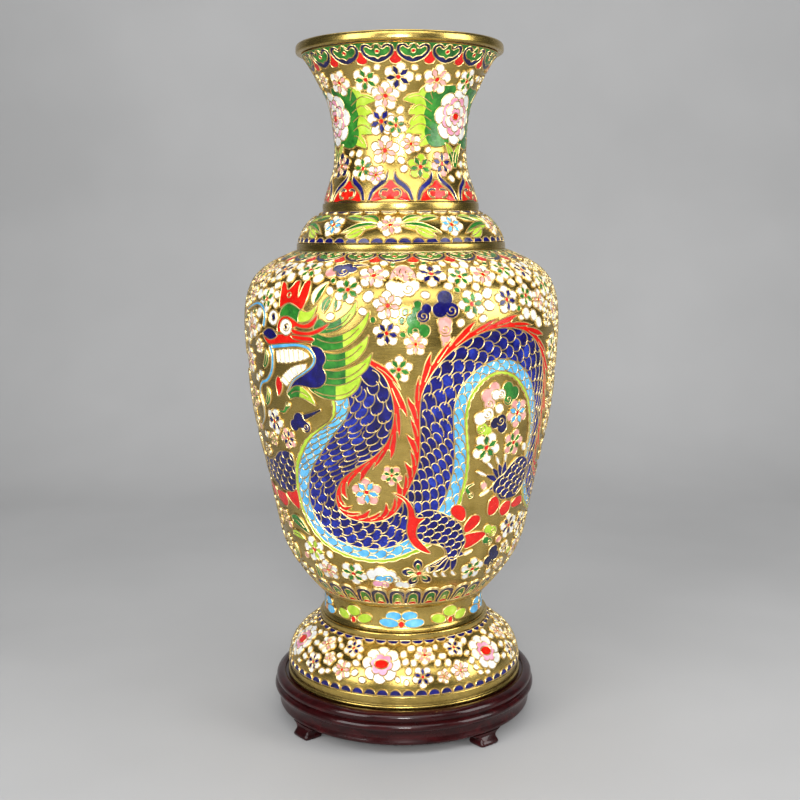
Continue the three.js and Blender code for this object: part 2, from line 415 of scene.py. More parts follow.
class Wall:
    """A zone of the vase's outer wall, unrolled. x runs round the axis and y up along the wall, both
    in millimetres, with x true to size at the middle radius. Angle 0 is the front, and angles grow
    to the right as seen from the front."""

    def __init__(self, name, outline):
        self.name = name
        steps = np.linalg.norm(np.diff(outline, axis=0), axis=1)
        self.outline = outline
        self.along = np.concatenate([[0], np.cumsum(steps)])
        self.length = self.along[-1]
        self.middle = float(np.mean(outline[:, 0]))
        tangent = np.gradient(outline, self.along, axis=0)
        self.tangent = tangent / np.linalg.norm(tangent, axis=1, keepdims=True)
        self.cells = []
        self.boxes = np.empty((0, 4))
        self.lines = []
        self.groups = 0

    def radius(self, y):
        return np.interp(y, self.along, self.outline[:, 0])

    def x_at(self, angle):
        return math.radians(angle) * self.middle

    def flat(self, points):
        """(angle, y) points as wall points."""
        points = np.asarray(points, dtype=float)
        return np.stack([np.radians(points[:, 0]) * self.middle, points[:, 1]], axis=1)

    def put(self, shape, angle, y, turn=0.0):
        """A shape drawn in true millimetres round its own origin, as wall points."""
        shape = turned_by(shape, turn)
        wall_y = y + shape[:, 1]
        wall_x = self.x_at(angle) + shape[:, 0] * self.middle / self.radius(wall_y)
        return np.stack([wall_x, wall_y], axis=1)

    def group(self):
        self.groups += 1
        return self.groups

    def cell(self, outline, colour, group=None):
        """Adds a cell on top of the earlier ones. Cells of one group have no wire between them."""
        outline = np.array(outline, dtype=float)
        outline[:, 1] = np.clip(outline[:, 1], 0.02, self.length - 0.02)
        if doubled_area(outline) < 0:
            outline = outline[::-1]
        self.cells.append((outline, colour, self.group() if group is None else group))
        self.boxes = np.vstack([self.boxes, [*outline.min(axis=0), *outline.max(axis=0)]])

    def draw(self, outline, colour, group=None, at=(0, 0), smooth=True):
        """A cell from an outline of (angle, y) points."""
        flat = self.flat(np.asarray(outline, dtype=float) + at)
        self.cell(catmull(flat, True, step=1.2) if smooth else flat, colour, group)

    def side(self, tangent, spots):
        """Steps of 1 mm to the left of a line's direction, in wall units."""
        scale = (self.radius(spots[:, 1]) / self.middle)[:, None]
        true = tangent * np.hstack([scale, np.ones_like(scale)])
        true /= np.maximum(np.linalg.norm(true, axis=1, keepdims=True), 1e-9)
        return np.hstack([-true[:, 1:] / scale, true[:, :1]])

    def offset(self, line, distance):
        return line + self.side(np.gradient(line, axis=0), line) * np.reshape(distance, (-1, 1))

    def line(self, points):
        """Adds a loose wire. Cells that are added later hide what they cover of it."""
        points = np.array(points, dtype=float)
        points[:, 1] = np.clip(points[:, 1], 0.02, self.length - 0.02)
        self.lines.append((points, len(self.cells)))

    def shown(self, points, born):
        """What is left of a loose wire, as unbroken runs."""
        low, high = points.min(axis=0), points.max(axis=0)
        near = (self.boxes[:, 0] < high[0]) & (self.boxes[:, 2] > low[0])
        near &= (self.boxes[:, 1] < high[1]) & (self.boxes[:, 3] > low[1])
        near[:born] = False
        kept = np.ones(len(points), dtype=bool)
        for index in np.nonzero(near)[0]:
            kept &= ~inside(self.cells[index][0], points[:, 0], points[:, 1])
        breaks = np.nonzero(np.diff(kept.astype(int)))[0] + 1
        runs = np.split(np.arange(len(points)), breaks)
        return [points[run] for run in runs if len(run) > 1 and kept[run[0]]]

    def solid(self, flat, height):
        """Wall points, lifted off the ground by a height, as points in space."""
        y = flat[:, 1]
        radius = np.interp(y, self.along, self.outline[:, 0])
        z = np.interp(y, self.along, self.outline[:, 1])
        tangent_r = np.interp(y, self.along, self.tangent[:, 0])
        tangent_z = np.interp(y, self.along, self.tangent[:, 1])
        radius = radius + tangent_z * height
        z = z - tangent_r * height
        angle = flat[:, 0] / self.middle - math.pi / 2
        return np.stack([radius * np.cos(angle), radius * np.sin(angle), z], axis=1)

    def free(self, angle, y, reach):
        """Whether a disc of the wall is still bare."""
        x = self.x_at(angle)
        scale = self.radius(y) / self.middle
        wide = reach / scale
        near = (self.boxes[:, 0] - wide < x) & (self.boxes[:, 2] + wide > x)
        near &= (self.boxes[:, 1] - reach < y) & (self.boxes[:, 3] + reach > y)
        for index in np.nonzero(near)[0]:
            outline = self.cells[index][0]
            away = np.hypot((outline[:, 0] - x) * scale, outline[:, 1] - y)
            if away.min() < reach or inside(outline, x, y)[0]:
                return False
        return True

    def build(self, body, spare=4.0):
        """Fills the cells with enamel and sets wires on every edge between two of them."""
        points = []
        faces = []
        for outline, _, _ in self.cells:
            first = len(points)
            points.extend(Vector(p) for p in outline)
            faces.append(list(range(first, first + len(outline))))
        for outline, _, _ in self.cells:
            points.extend(Vector(p) for p in grid_inside(outline, spare))
        found, _, triangles, _, _, owners = delaunay_2d_cdt(points, [], faces, 1, 1e-3, True)
        flat = np.array([(p.x, p.y) for p in found])
        corners = np.array([t[:3] for t in triangles], dtype=np.int32)
        owner = np.array([max(o) if o else -1 for o in owners])
        kept = owner >= 0
        corners = corners[kept]
        owner = owner[kept]
        a, b, c = flat[corners[:, 0]], flat[corners[:, 1]], flat[corners[:, 2]]
        area = (b[:, 0] - a[:, 0]) * (c[:, 1] - a[:, 1]) - (b[:, 1] - a[:, 1]) * (c[:, 0] - a[:, 0])
        flip = area < 0
        corners[flip] = corners[flip][:, ::-1]
        colours = [self.cells[o][1] for o in owner]
        groups = np.array([self.cells[o][2] for o in owner])
        self.fill(flat, corners, np.array(colours), body)
        edges = wire_edges(corners, groups)
        on_seam = np.abs(flat[edges][:, :, 0]).min(axis=1) > math.pi * self.middle - 0.01
        lines = [flat[chain] for chain in chains_of(edges[~on_seam])]
        for points, born in self.lines:
            lines.extend(self.shown(points, born))
        self.wires(lines, body)

    def fill(self, flat, corners, colours, body):
        """One closed slab of enamel for each colour."""
        top = self.solid(flat, ENAMEL_HEIGHT)
        under = self.solid(flat, -SUNK)
        for colour in sorted(set(colours)):
            mine = corners[colours == colour]
            used, local = np.unique(mine, return_inverse=True)
            local = local.reshape(-1, 3)
            count = len(used)
            walls = border_edges(local)
            sides = np.stack([walls[:, 0], walls[:, 0] + count, walls[:, 1] + count, walls[:, 1]], axis=1)
            made = make_object(
                f"{self.name}_enamel_{colour}", np.vstack([top[used], under[used]]), sides,
                np.vstack([local, local[:, ::-1] + count]), ENAMELS[colour])
            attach(made, body)

    def wires(self, lines, body, most=18000):
        """Gilt wires of a rounded section along the lines, in pieces of a manageable size."""
        half = 0.5 * WIRE_WIDTH
        section = np.array([
            (-half, -SUNK), (half, -SUNK), (half, 0.7 * WIRE_HEIGHT), (0.0, WIRE_HEIGHT), (-half, 0.7 * WIRE_HEIGHT)])
        sides = len(section)
        batch = []
        batches = [batch]
        load = 0
        for line in sorted(lines, key=lambda line: float(line[0, 0])):
            if load > most:
                batch = []
                batches.append(batch)
                load = 0
            batch.append(line)
            load += len(line)
        for number, batch in enumerate(batches, 1):
            points = []
            quads = []
            triangles = []
            base = 0
            for line in batch:
                closed = len(line) > 3 and np.allclose(line[0], line[-1])
                spots = line[:-1] if closed else line
                rings = self.swept(spots, section, closed)
                count = len(spots)
                index = base + np.arange(count * sides).reshape(count, sides)
                onward = np.roll(index, -1, axis=0) if closed else index[1:]
                here = index if closed else index[:-1]
                quads.append(np.stack([
                    here, np.roll(here, -1, axis=1), np.roll(onward, -1, axis=1), onward], axis=-1).reshape(-1, 4))
                if not closed:
                    for end, turn in ((index[0], -1), (index[-1], 1)):
                        fan = end[::turn]
                        triangles.extend([(fan[0], fan[k], fan[k + 1]) for k in range(1, sides - 1)])
                points.append(rings)
                base += count * sides
            made = make_object(
                f"{self.name}_wires_{number}", np.vstack(points), np.vstack(quads), triangles, GILT_WIRE, 60.0)
            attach(made, body)

    def swept(self, spots, section, closed):
        if closed:
            tangent = np.roll(spots, -1, axis=0) - np.roll(spots, 1, axis=0)
        else:
            tangent = np.gradient(spots, axis=0)
        left = self.side(tangent, spots)
        rings = [self.solid(spots + left * across, height) for across, height in section]
        return np.stack(rings, axis=1).reshape(-1, 3)


def doubled_area(outline):
    onward = np.roll(outline, -1, axis=0)
    return float(np.sum(outline[:, 0] * onward[:, 1] - onward[:, 0] * outline[:, 1]))


def inside(outline, x, y):
    """Whether points are inside a closed outline."""
    x, y = np.atleast_1d(x)[:, None], np.atleast_1d(y)[:, None]
    x1, y1 = outline[:, 0], outline[:, 1]
    x2, y2 = np.roll(x1, -1), np.roll(y1, -1)
    crossing = (y1 > y) != (y2 > y)
    rise = np.where(y2 == y1, 1.0, y2 - y1)
    at = x1 + (y - y1) * (x2 - x1) / rise
    return np.count_nonzero(crossing & (at > x), axis=1) % 2 == 1


def grid_inside(outline, spacing):
    """Loose points on a grid inside a large outline, so that its fill follows the wall's curve."""
    low, high = outline.min(axis=0), outline.max(axis=0)
    if (high - low).min() < 1.6 * spacing:
        return []
    columns = np.arange(low[0] + 0.5 * spacing, high[0], spacing)
    rows = np.arange(low[1] + 0.5 * spacing, high[1], spacing)
    spots = np.stack(np.meshgrid(columns, rows), axis=-1).reshape(-1, 2)
    return spots[inside(outline, spots[:, 0], spots[:, 1])]


def edges_of(corners):
    """Every triangle's edges, in the triangle's direction, and the triangle that each belongs to."""
    edges = np.vstack([corners[:, [0, 1]], corners[:, [1, 2]], corners[:, [2, 0]]])
    face = np.tile(np.arange(len(corners)), 3)
    return edges, face


def border_edges(corners):
    """The edges that only one triangle uses, in that triangle's direction."""
    edges, _ = edges_of(corners)
    ordered = np.sort(edges, axis=1)
    _, first, counts = np.unique(ordered, axis=0, return_index=True, return_counts=True)
    return edges[first[counts == 1]]


def wire_edges(corners, groups):
    """The edges where the cell on the two sides differs."""
    edges, face = edges_of(corners)
    ordered = np.sort(edges, axis=1)
    unique, inverse = np.unique(ordered, axis=0, return_inverse=True)
    inverse = inverse.ravel()
    low = np.full(len(unique), np.iinfo(np.int64).max)
    high = np.full(len(unique), -1)
    uses = np.zeros(len(unique), dtype=int)
    np.minimum.at(low, inverse, groups[face])
    np.maximum.at(high, inverse, groups[face])
    np.add.at(uses, inverse, 1)
    return unique[(uses == 1) | (low != high)]


def chains_of(edges):
    """Edges joined end to end into lines; a closed line repeats its first point."""
    near = {}
    for a, b in edges.tolist():
        near.setdefault(a, []).append(b)
        near.setdefault(b, []).append(a)
    unused = {(a, b) for a, b in edges.tolist()}

    def take(a, b):
        key = (a, b) if (a, b) in unused else (b, a)
        if key not in unused:
            return False
        unused.discard(key)
        return True

    def follow(start, onward):
        line = [start, onward]
        while len(near[line[-1]]) == 2 and line[-1] != start:
            following = [p for p in near[line[-1]] if p != line[-2]]
            if not following or not take(line[-1], following[0]):
                break
            line.append(following[0])
        return line

    lines = []
    for start in [p for p in near if len(near[p]) != 2]:
        for onward in near[start]:
            if take(start, onward):
                lines.append(follow(start, onward))
    for start, onward in sorted(unused):
        if take(start, onward):
            lines.append(follow(start, onward))
    return lines


# ---------------------------------------------------------------- motifs

def mirrored(half):
    """A closed outline from its right half, listed from the lowest point to the highest."""
    half = np.asarray(half, dtype=float)
    return np.vstack([half, (half * (-1, 1))[::-1]])


def flower(wall, angle, y, radius, inner, outer="white", turn=0.0, petals=5, heart="red"):
    """A blossom of round petals, with a coloured star between them and a small heart."""
    star = kite(0.1 * radius, 0.86 * radius, 0.42 * radius)
    lobe = ring_points(0.34 * radius, 0.36 * radius, 14) + (0, 0.66 * radius)
    for k in range(petals):
        wall.cell(wall.put(lobe, angle, y, turn + k * 360 / petals), outer)
    for k in range(petals):
        wall.cell(wall.put(star, angle, y, turn + (k + 0.5) * 360 / petals), inner)
    wall.cell(wall.put(ring_points(0.19 * radius, count=8), angle, y), heart)


def star_flower(wall, angle, y, radius, inner, outer, turn=0.0):
    """Five long drop petals, each with a smaller drop of another colour in it."""
    for k in range(5):
        wall.cell(wall.put(petal(0.12 * radius, radius, 0.55 * radius), angle, y, turn + 72 * k), outer)
        wall.cell(wall.put(petal(0.2 * radius, 0.7 * radius, 0.25 * radius), angle, y, turn + 72 * k), inner)
    wall.cell(wall.put(ring_points(0.17 * radius, count=8), angle, y), "red")


def peony(wall, angle, y, radius):
    """Rings of overlapping scalloped petals round a red heart."""
    rings = ((8, 0.74, 0.34, "white"), (8, 0.54, 0.23, "pink"), (6, 0.38, 0.22, "white"), (5, 0.2, 0.15, "pink"))
    for ring, (count, reach, size, colour) in enumerate(rings):
        lobe = ring_points(size * radius, 0.85 * size * radius, 12) + (0, reach * radius)
        group = wall.group() if colour == "pink" else None
        for k in range(count):
            wall.cell(wall.put(lobe, angle, y, (k + 0.5 * ring) * 360 / count), colour, group)
    wall.cell(wall.put(ring_points(0.18 * radius, 0.13 * radius), angle, y), "red")


def blade(wall, root, bend, tip, width, near, far, split=0.5, rib=True, full=1.0, group=None):
    """A curved tapering leaf or strand in two tones that run into each other. It is widest near its root
    where full is below 1."""
    steps = 14
    root, bend, tip = wall.flat([root, bend, tip])
    t = np.linspace(0, 1, steps + 1)[:, None]
    line = root * (1 - t) ** 2 + 2 * bend * t * (1 - t) + tip * t ** 2
    half = 0.5 * width * np.sin(math.pi * (0.15 + 0.85 * t[:, 0]) ** full) ** 0.8
    half[-1] = 0.05
    left = wall.offset(line, half)
    right = wall.offset(line, -half)
    cut = round(split * steps)
    group = wall.group() if group is None else group
    wall.cell(np.vstack([left[:cut + 1], right[:cut + 1][::-1]]), near, group)
    wall.cell(np.vstack([left[cut:], right[cut:][::-1]]), far, group)
    if rib:
        wall.line(line[2:-3])


def leaf(wall, root, bend, tip, width, upper, lower):
    """A curved leaf whose two halves, on either side of its midrib, differ in colour."""
    root, bend, tip = wall.flat([root, bend, tip])
    t = np.linspace(0, 1, 13)[:, None]
    line = root * (1 - t) ** 2 + 2 * bend * t * (1 - t) + tip * t ** 2
    half = 0.5 * width * np.sin(math.pi * t[:, 0]) ** 0.8
    half[[0, -1]] = 0.05
    for side, colour in ((1, upper), (-1, lower)):
        wall.cell(np.vstack([line, wall.offset(line, side * half)[::-1]]), colour)


def cloud(wall, angle, y, puffs, colour, turn=0.0):
    """Round puffs merged into one cell, with a curl of wire in the last of them."""
    group = wall.group()
    for x, up, radius in puffs:
        wall.cell(wall.put(ring_points(1.12 * radius, count=14) + (x, up), angle, y, turn), colour, group)
    x, up, radius = puffs[-1]
    wall.line(wall.put(spiral(0.8 * radius, 1.25, 200) + (x, up), angle, y, turn))


def feather(wall, angle, y, size):
    """A fan of wind-blown strands that curl together at the foot."""
    fan = [(-0.8, -0.5), (-0.62, 0.3), (-0.2, 0.85), (0.3, 0.8), (0.72, 0.25), (0.86, -0.42), (0.5, -0.3), (0.36, -0.75),
           (-0.05, -0.45), (-0.4, -0.2)]
    wall.cell(wall.put(catmull(size * np.array(fan), True, step=0.9), angle, y), "salmon")
    for reach in (-0.42, -0.08, 0.3):
        strand = [(reach, 0.5 - 0.5 * abs(reach)), (reach - 0.1, 0.15), (reach + 0.14, -0.15), (reach + 0.04, -0.4)]
        wall.line(wall.put(catmull(size * np.array(strand), step=0.9), angle, y))
    wall.line(wall.put(size * spiral(0.2, 1.2) + (0.5 * size, -0.05 * size), angle, y))


def scroll(wall, points, width, colour, curl=0.0):
    """A band that tapers along a line of (angle, y) points and may end in a curled puff."""
    line = catmull(wall.flat(points), step=1.2)
    half = 0.5 * width * np.linspace(1.0, 0.35, len(line))
    group = wall.group()
    wall.cell(np.vstack([wall.offset(line, half), wall.offset(line, -half)[::-1]]), colour, group)
    if curl:
        angle, y = points[0]
        wall.cell(wall.put(ring_points(curl, count=16), angle, y), colour, group)
        wall.line(wall.put(spiral(0.7 * curl, 1.3), angle, y))


def scallops(wall, count, first, base, height, colour, fill=0.9):
    """A row of half-round scales; a negative height hangs them from the base line."""
    pitch = 360 / count
    angles = np.linspace(0, math.pi, 9)
    shape = np.stack([0.5 * fill * pitch * np.cos(angles), height * np.sin(angles) ** 0.8], axis=1)
    for k in range(count):
        centre = first + k * pitch
        wall.draw(shape + (wrapped(centre), base), colour, smooth=False)


def wrapped(angle):
    return (angle + 180) % 360 - 180


def band(wall, low, high, colour):
    """A full ring of enamel."""
    angles = np.linspace(-180, 180, 121)
    edge = [(angle, low) for angle in angles] + [(angle, high) for angle in angles[::-1]]
    wall.draw(edge, colour, smooth=False)


def ruyi_band(wall, count, first, depth):
    """Cloud heads hanging from the zone's top edge on a green band, with red drops between them."""
    head = mirrored([
        (0, -12), (3.6, -11), (7.6, -8.2), (9.3, -4.6), (8.6, -1.9), (6.4, -1), (4.2, -1.7), (2.8, -3), (1.6, -1.4)])
    heart = mirrored([
        (0, -9.6), (1.8, -8.4), (4.4, -8), (7, -5.6), (7.2, -3.4), (5.6, -2.7), (4.1, -3.9), (2.2, -3.9), (0.6, -1)])
    drop = mirrored([(0, -12.8), (2.4, -12), (3.4, -9.8), (2.2, -7.2), (0, -5)])
    top = wall.length
    pitch = 360 / count
    scale = np.array([math.radians(pitch) * wall.radius(top - 0.5 * depth) / 19.6, depth / 12])
    band(wall, top - 0.42 * depth, top, "green")
    for k in range(count):
        between = wrapped(first + (k + 0.5) * pitch)
        wall.cell(wall.put(catmull(drop * scale, True, step=0.9), between, top), "red")
    for k in range(count):
        centre = wrapped(first + k * pitch)
        wall.cell(wall.put(catmull(head * scale, True, step=0.9), centre, top), "black")
        wall.cell(wall.put(catmull(heart * scale, True, step=0.9), centre, top), "green")
        wall.cell(wall.put(ring_points(1.3, count=8) + (0, -0.46 * depth), centre, top), "red")


def lappets(wall, pairs, first, height):
    """Pairs of arched panels that stand on the zone's bottom edge."""
    def arch(half, top):
        angles = np.linspace(0, math.pi, 11)
        crown = np.stack([half * np.cos(angles), top - 4.5 + 4.5 * np.sin(angles)], axis=1)
        return np.vstack([[(half, 0)], crown, [(-half, 0)]])

    for k in range(pairs):
        for side in (-4.4, 4.4):
            centre = (wrapped(first + k * 360 / pairs) + side, 0)
            wall.draw(arch(4.5, height), "black", at=centre)
            wall.draw(arch(2.7, height - 3), "green", at=centre)
            wall.draw(arch(1.6, 6.2), "lime", at=centre)
            wall.draw([(-2.6, 0), (2.6, 0), (1.8, 2.2), (0, 3), (-1.8, 2.2)], "red", at=centre)
            wall.line(wall.flat(arch(4.75, height + 1.2) + centre)[1:-1])


def scatter(wall, chance, low, high, kinds, tries, span=(-180, 180), spare=0.35):
    """Sows small motifs where the wall is still bare. Each kind is (its reach, how to draw it)."""
    for reach, draw in kinds:
        for _ in range(tries):
            y = chance.uniform(low + reach, high - reach)
            edge = math.degrees(reach / wall.radius(y))
            angle = chance.uniform(span[0] + edge, span[1] - edge)
            if wall.free(angle, y, reach + spare):
                draw(wall, angle, y, chance)


def any_flower(radius, choices):
    def draw(wall, angle, y, chance):
        inner, outer = chance.choice(choices)
        flower(wall, angle, y, radius, inner, outer, chance.uniform(0, 72))
    return draw


def loose_petal(radius, colours):
    def draw(wall, angle, y, chance):
        shape = ring_points(radius, 0.82 * radius, 12, chance.uniform(0, 3))
        wall.cell(wall.put(shape, angle, y, chance.uniform(0, 360)), chance.choice(colours))
    return draw


def any_cloud(size, colours):
    puffs = [(-0.55 * size, 0, 0.45 * size), (0, 0.3 * size, 0.5 * size), (0.55 * size, -0.05 * size, 0.4 * size)]

    def draw(wall, angle, y, chance):
        first, second = chance.sample(colours, 2)
        turn = chance.uniform(-40, 40)
        tail = [(-0.2 * size, -0.55 * size, 0.3 * size), (0.25 * size, -0.6 * size, 0.22 * size)]
        cloud(wall, angle, y, tail, second, turn)
        cloud(wall, angle, y, puffs, first, turn)
    return draw


# ---------------------------------------------------------------- the dragon

class Loft:
    """A long body between its back edge and its belly edge, which run side by side from head to tail.
    u is the distance along the middle, and v goes from 0 at the back edge to 1 at the belly edge."""

    def __init__(self, wall, ribs):
        ribs = np.asarray(ribs, dtype=float)
        self.wall = wall
        self.back = catmull(wall.flat(ribs[:, :2]), per=6)
        self.belly = catmull(wall.flat(ribs[:, 2:]), per=6)
        middle = 0.5 * (self.back + self.belly)
        scale = wall.radius(middle[:, 1]) / wall.middle
        steps = np.hypot(np.diff(middle[:, 0]) * scale[1:], np.diff(middle[:, 1]))
        self.u = np.concatenate([[0], np.cumsum(steps)])
        across = (self.belly - self.back) * np.stack([scale, np.ones(len(scale))], axis=1)
        self.width = np.linalg.norm(across, axis=1)

    def at(self, u, v):
        u = np.asarray(u, dtype=float)
        v = np.asarray(v, dtype=float)
        back = np.stack([np.interp(u, self.u, self.back[:, i]) for i in (0, 1)], axis=-1)
        belly = np.stack([np.interp(u, self.u, self.belly[:, i]) for i in (0, 1)], axis=-1)
        return back + (belly - back) * v[..., None]

    def wide(self, u):
        return float(np.interp(u, self.u, self.width))

    def strip(self, low, high, colour, ripple=0.0):
        """The body between two shares of its width. A ripple, in millimetres, scallops the far edge."""
        u = np.linspace(0, self.u[-1], round(self.u[-1] / 1.1)) if ripple else self.u
        first = self.at(u, np.full(len(u), low))
        last = self.at(u, high + ripple * np.abs(np.sin(u * math.pi / 6)) / np.interp(u, self.u, self.width))
        group = self.wall.group()
        self.wall.cell(np.vstack([first, last[::-1]]), colour, group)
        return group

    def scales(self, low, high, size, pitch, tint, group):
        """Staggered rows of horseshoe wires, open towards the head, over a strip of the body. The scales
        on the belly's side are tinted."""
        turns = np.radians(np.linspace(-115, 115, 13))
        wires = []
        for row, u in enumerate(np.arange(pitch, self.u[-1] - 3 * pitch, pitch)):
            wide = self.wide(u) * (high - low)
            count = max(1, round(wide / size))
            reach = min(0.42 * wide / count, 4.2)
            for k in range(count + row % 2):
                v = (k + 0.5 - 0.5 * (row % 2)) / count
                along = u + reach * (1.05 * np.cos(turns) + 0.2)
                across = v + reach / wide * np.sin(turns)
                kept = (across > 0.01) & (across < 0.99)
                if kept.sum() < 4:
                    continue
                points = self.at(along, low + np.clip(across, 0.01, 0.99) * (high - low))
                wires.append(points[kept])
                if v > 0.45:
                    self.wall.cell(points, tint, group)
        for points in wires:
            self.wall.line(points)

    def fin(self, base, spike, pitch, colour):
        """A flame fin along the back: a narrow band with tongues that sweep towards the tail."""
        group = self.wall.group()
        edge = self.at(self.u, np.zeros(len(self.u)))
        self.wall.cell(np.vstack([edge, self.wall.offset(edge, base)[::-1]]), colour, group)
        tongue = np.array([
            (-0.1, 0.6), (0.2, 1.2), (0.6, 1.7), (0.95, 2.2), (1.35, 2.5), (1.22, 2.0), (1.06, 1.5), (0.97, 1.1), (0.9, 0.6)])
        strands = []
        for number, u in enumerate(np.arange(2.0, self.u[-1] - 1.6 * pitch, pitch)):
            reach = spike * (1.0 if number % 2 else 0.72)
            outline = catmull(tongue, True, step=0.28)
            along = u + outline[:, 0] * pitch
            out = np.where(outline[:, 1] > 1, base + (outline[:, 1] - 1) / 1.5 * (reach - base), outline[:, 1] * base)
            spots = self.at(along, np.zeros(len(along)))
            ahead = self.at(along + 0.5, np.zeros(len(along)))
            self.wall.cell(spots + self.wall.side(ahead - spots, spots) * out[:, None], colour, group)
            strands.append(u + pitch * np.array([0.93, 0.75, 0.5, 0.2]))
        for along in strands:
            spots = self.at(along, np.zeros(4))
            ahead = self.at(along + 0.5, np.zeros(4))
            out = base * np.array([[1.05], [0.8], [0.55], [0.4]])
            self.wall.line(catmull(spots + self.wall.side(ahead - spots, spots) * out, step=1.2))


def scaly(wall, outline, size, heading):
    """Horseshoe wires over a limb; their rounded ends point along the heading, in degrees from the x axis."""
    flat = catmull(wall.flat(outline), True, step=1.5)
    centre = flat.mean(axis=0)
    reach = np.abs(flat - centre).max() + size
    turns = np.radians(np.linspace(-110, 110, 12))
    arc = turned_by(0.45 * size * np.stack([np.cos(turns), np.sin(turns)], axis=1), heading)
    for number, along in enumerate(np.arange(-reach, reach, 0.62 * size)):
        for across in np.arange(-reach, reach, 1.4 * size):
            points = arc + centre + turned_by([(along, across + 0.7 * size * (number % 2))], heading)[0]
            kept = inside(flat, points[:, 0], points[:, 1])
            if kept.sum() > 5:
                wall.line(points[kept])


def limb(wall, outline, heading, size=6.4):
    wall.draw(outline, "navy")
    scaly(wall, outline, size, heading)


def claws(wall, palm, fingers, width=4.0):
    """Fingers that run from the palm through a bend to a knuckle, each with a hooked white claw."""
    for bend, knuckle, tip in fingers:
        blade(wall, palm, bend, knuckle, width, "navy", "navy", rib=False)
    for bend, knuckle, tip in fingers:
        middle, point = np.array(knuckle, dtype=float), np.array(tip, dtype=float)
        back = middle + 0.12 * (np.array(bend) - middle)
        hook = middle + 0.35 * (point - middle) + 0.2 * (middle - np.array(bend))
        blade(wall, back, hook, point, 0.56 * width, "white", "white", rib=False)


BODY_RIBS = [
    (-11.5, 153.5, -24.5, 133.5), (-6.5, 147.5, -24.3, 127.5), (-3.8, 138, -25.5, 121.5), (-2.8, 125, -30, 116.5),
    (-5, 111, -37, 109), (-10, 101.5, -42, 99.5), (-17, 94, -45.6, 90), (-23.3, 86.5, -47.3, 80),
    (-26.8, 77.5, -47.3, 68), (-26.8, 69, -44.5, 56.5), (-23.5, 64, -38, 46), (-18, 61.6, -29, 39.8),
    (-12, 61.5, -18, 36.6), (-6, 64, -7, 36.8), (-1.5, 70, 2, 40.5), (1.7, 80, 13, 48.5),
    (4.6, 90, 21.5, 64), (6, 100, 24.8, 80), (6.2, 112, 25.3, 95), (6, 125, 24.2, 108),
    (6.8, 137, 23.1, 121), (10.5, 148.5, 24, 131.5), (16, 158.5, 26.5, 138), (24, 166.5, 30.2, 143),
    (34, 170.3, 35.5, 145), (44, 168.7, 41.2, 142.3), (52, 162.5, 46, 136), (57.6, 153, 49.8, 128.5),
    (60.4, 141, 52.8, 118.5), (61.6, 127, 54.6, 108.5), (62.2, 112, 55.2, 98), (63.2, 97, 55.6, 86),
    (66, 84.5, 58.6, 73), (72, 76.5, 66, 60.5), (81, 73, 78, 54), (91, 75, 93, 55),
    (99, 82, 107, 65), (105, 94, 116, 82), (110, 108, 122, 98), (116, 122, 128, 111),
    (124, 136, 134, 122), (135, 147, 141, 130), (148, 151, 148, 136), (159, 144, 153, 133),
    (164.5, 133, 157, 126), (167, 121, 161, 117), (168.5, 110, 164.5, 108), (169.6, 99, 167.6, 98.5),
]

# Each lock of the mane: where green turns to lime, its outline from the root along the lower edge to the
# tip and back, and the wire inside it
MANE = [
    (-22.5, [
        (-33.5, 138.5), (-30, 134.7), (-26.5, 132.9), (-22, 132.6), (-18.5, 134.5), (-15.5, 138), (-14, 142),
        (-13.5, 146), (-15.5, 146), (-20, 144), (-26, 143), (-31, 142)],
     [(-31, 136.8), (-28, 135.4), (-24, 134.8), (-20, 135.7), (-17, 138), (-15.2, 141)]),
    (-18.7, [
        (-28.5, 142), (-23, 140.7), (-19, 141.8), (-16, 144.3), (-13.4, 147.2), (-11, 151.4), (-9.5, 159),
        (-11.2, 156.6), (-14, 153.4), (-18, 150.4), (-22, 148.6), (-28, 148.4)],
     [(-27, 144.4), (-22, 144.4), (-18, 145.8), (-14.4, 149.2), (-11.8, 153.4)]),
    (-18.2, [
        (-27.5, 149.8), (-22, 150), (-18, 152), (-15, 154.9), (-12.8, 158.6), (-11.2, 163), (-10.7, 168.5),
        (-12.4, 166), (-15, 162.7), (-18, 160), (-22, 158.1), (-28, 157.8)],
     [(-28, 154.6), (-23, 154.2), (-19.5, 155.1), (-16, 158), (-13, 162.6)]),
    (-19.3, [
        (-28.5, 159.6), (-22, 160), (-18, 162.4), (-15, 166), (-12.5, 170.8), (-10.9, 176), (-10.4, 181.5),
        (-12.5, 176.8), (-15, 172.8), (-18, 170), (-21, 168), (-25, 167), (-29, 168.6), (-31.4, 168), (-31.4, 163)],
     [(-29, 165.8), (-26, 164.3), (-23, 163.9), (-19.5, 164.9), (-16.4, 167.9), (-13.8, 172)]),
    (-19.4, [
        (-30, 169), (-26, 168.6), (-22, 170.2), (-19, 173), (-16.4, 177), (-15, 181), (-15, 186.5), (-16.6, 182.4),
        (-18.8, 178.8), (-21.4, 176.2), (-25, 174.4), (-28, 176.4), (-30, 173)],
     [(-25.4, 170.8), (-22, 172), (-19, 175), (-16.8, 179.4)]),
]


def dragon_body(wall):
    loft = Loft(wall, BODY_RIBS)
    loft.fin(3.0, 7.6, 10.0, "red")
    loft.strip(0.93, 0.99, "lime", 0.7)
    loft.scales(0.67, 0.93, 7.5, 4.3, "sky", loft.strip(0.67, 0.93, "sky"))
    loft.scales(0.0, 0.67, 9.0, 4.6, "cobalt", loft.strip(0.0, 0.67, "navy"))
    for reach, tip in ((9, (176.5, 84)), (6, (170, 78)), (6, (165, 84)), (4.5, (174, 92))):
        blade(wall, (168.4, 101), (168, 92), tip, reach, "red", "red")


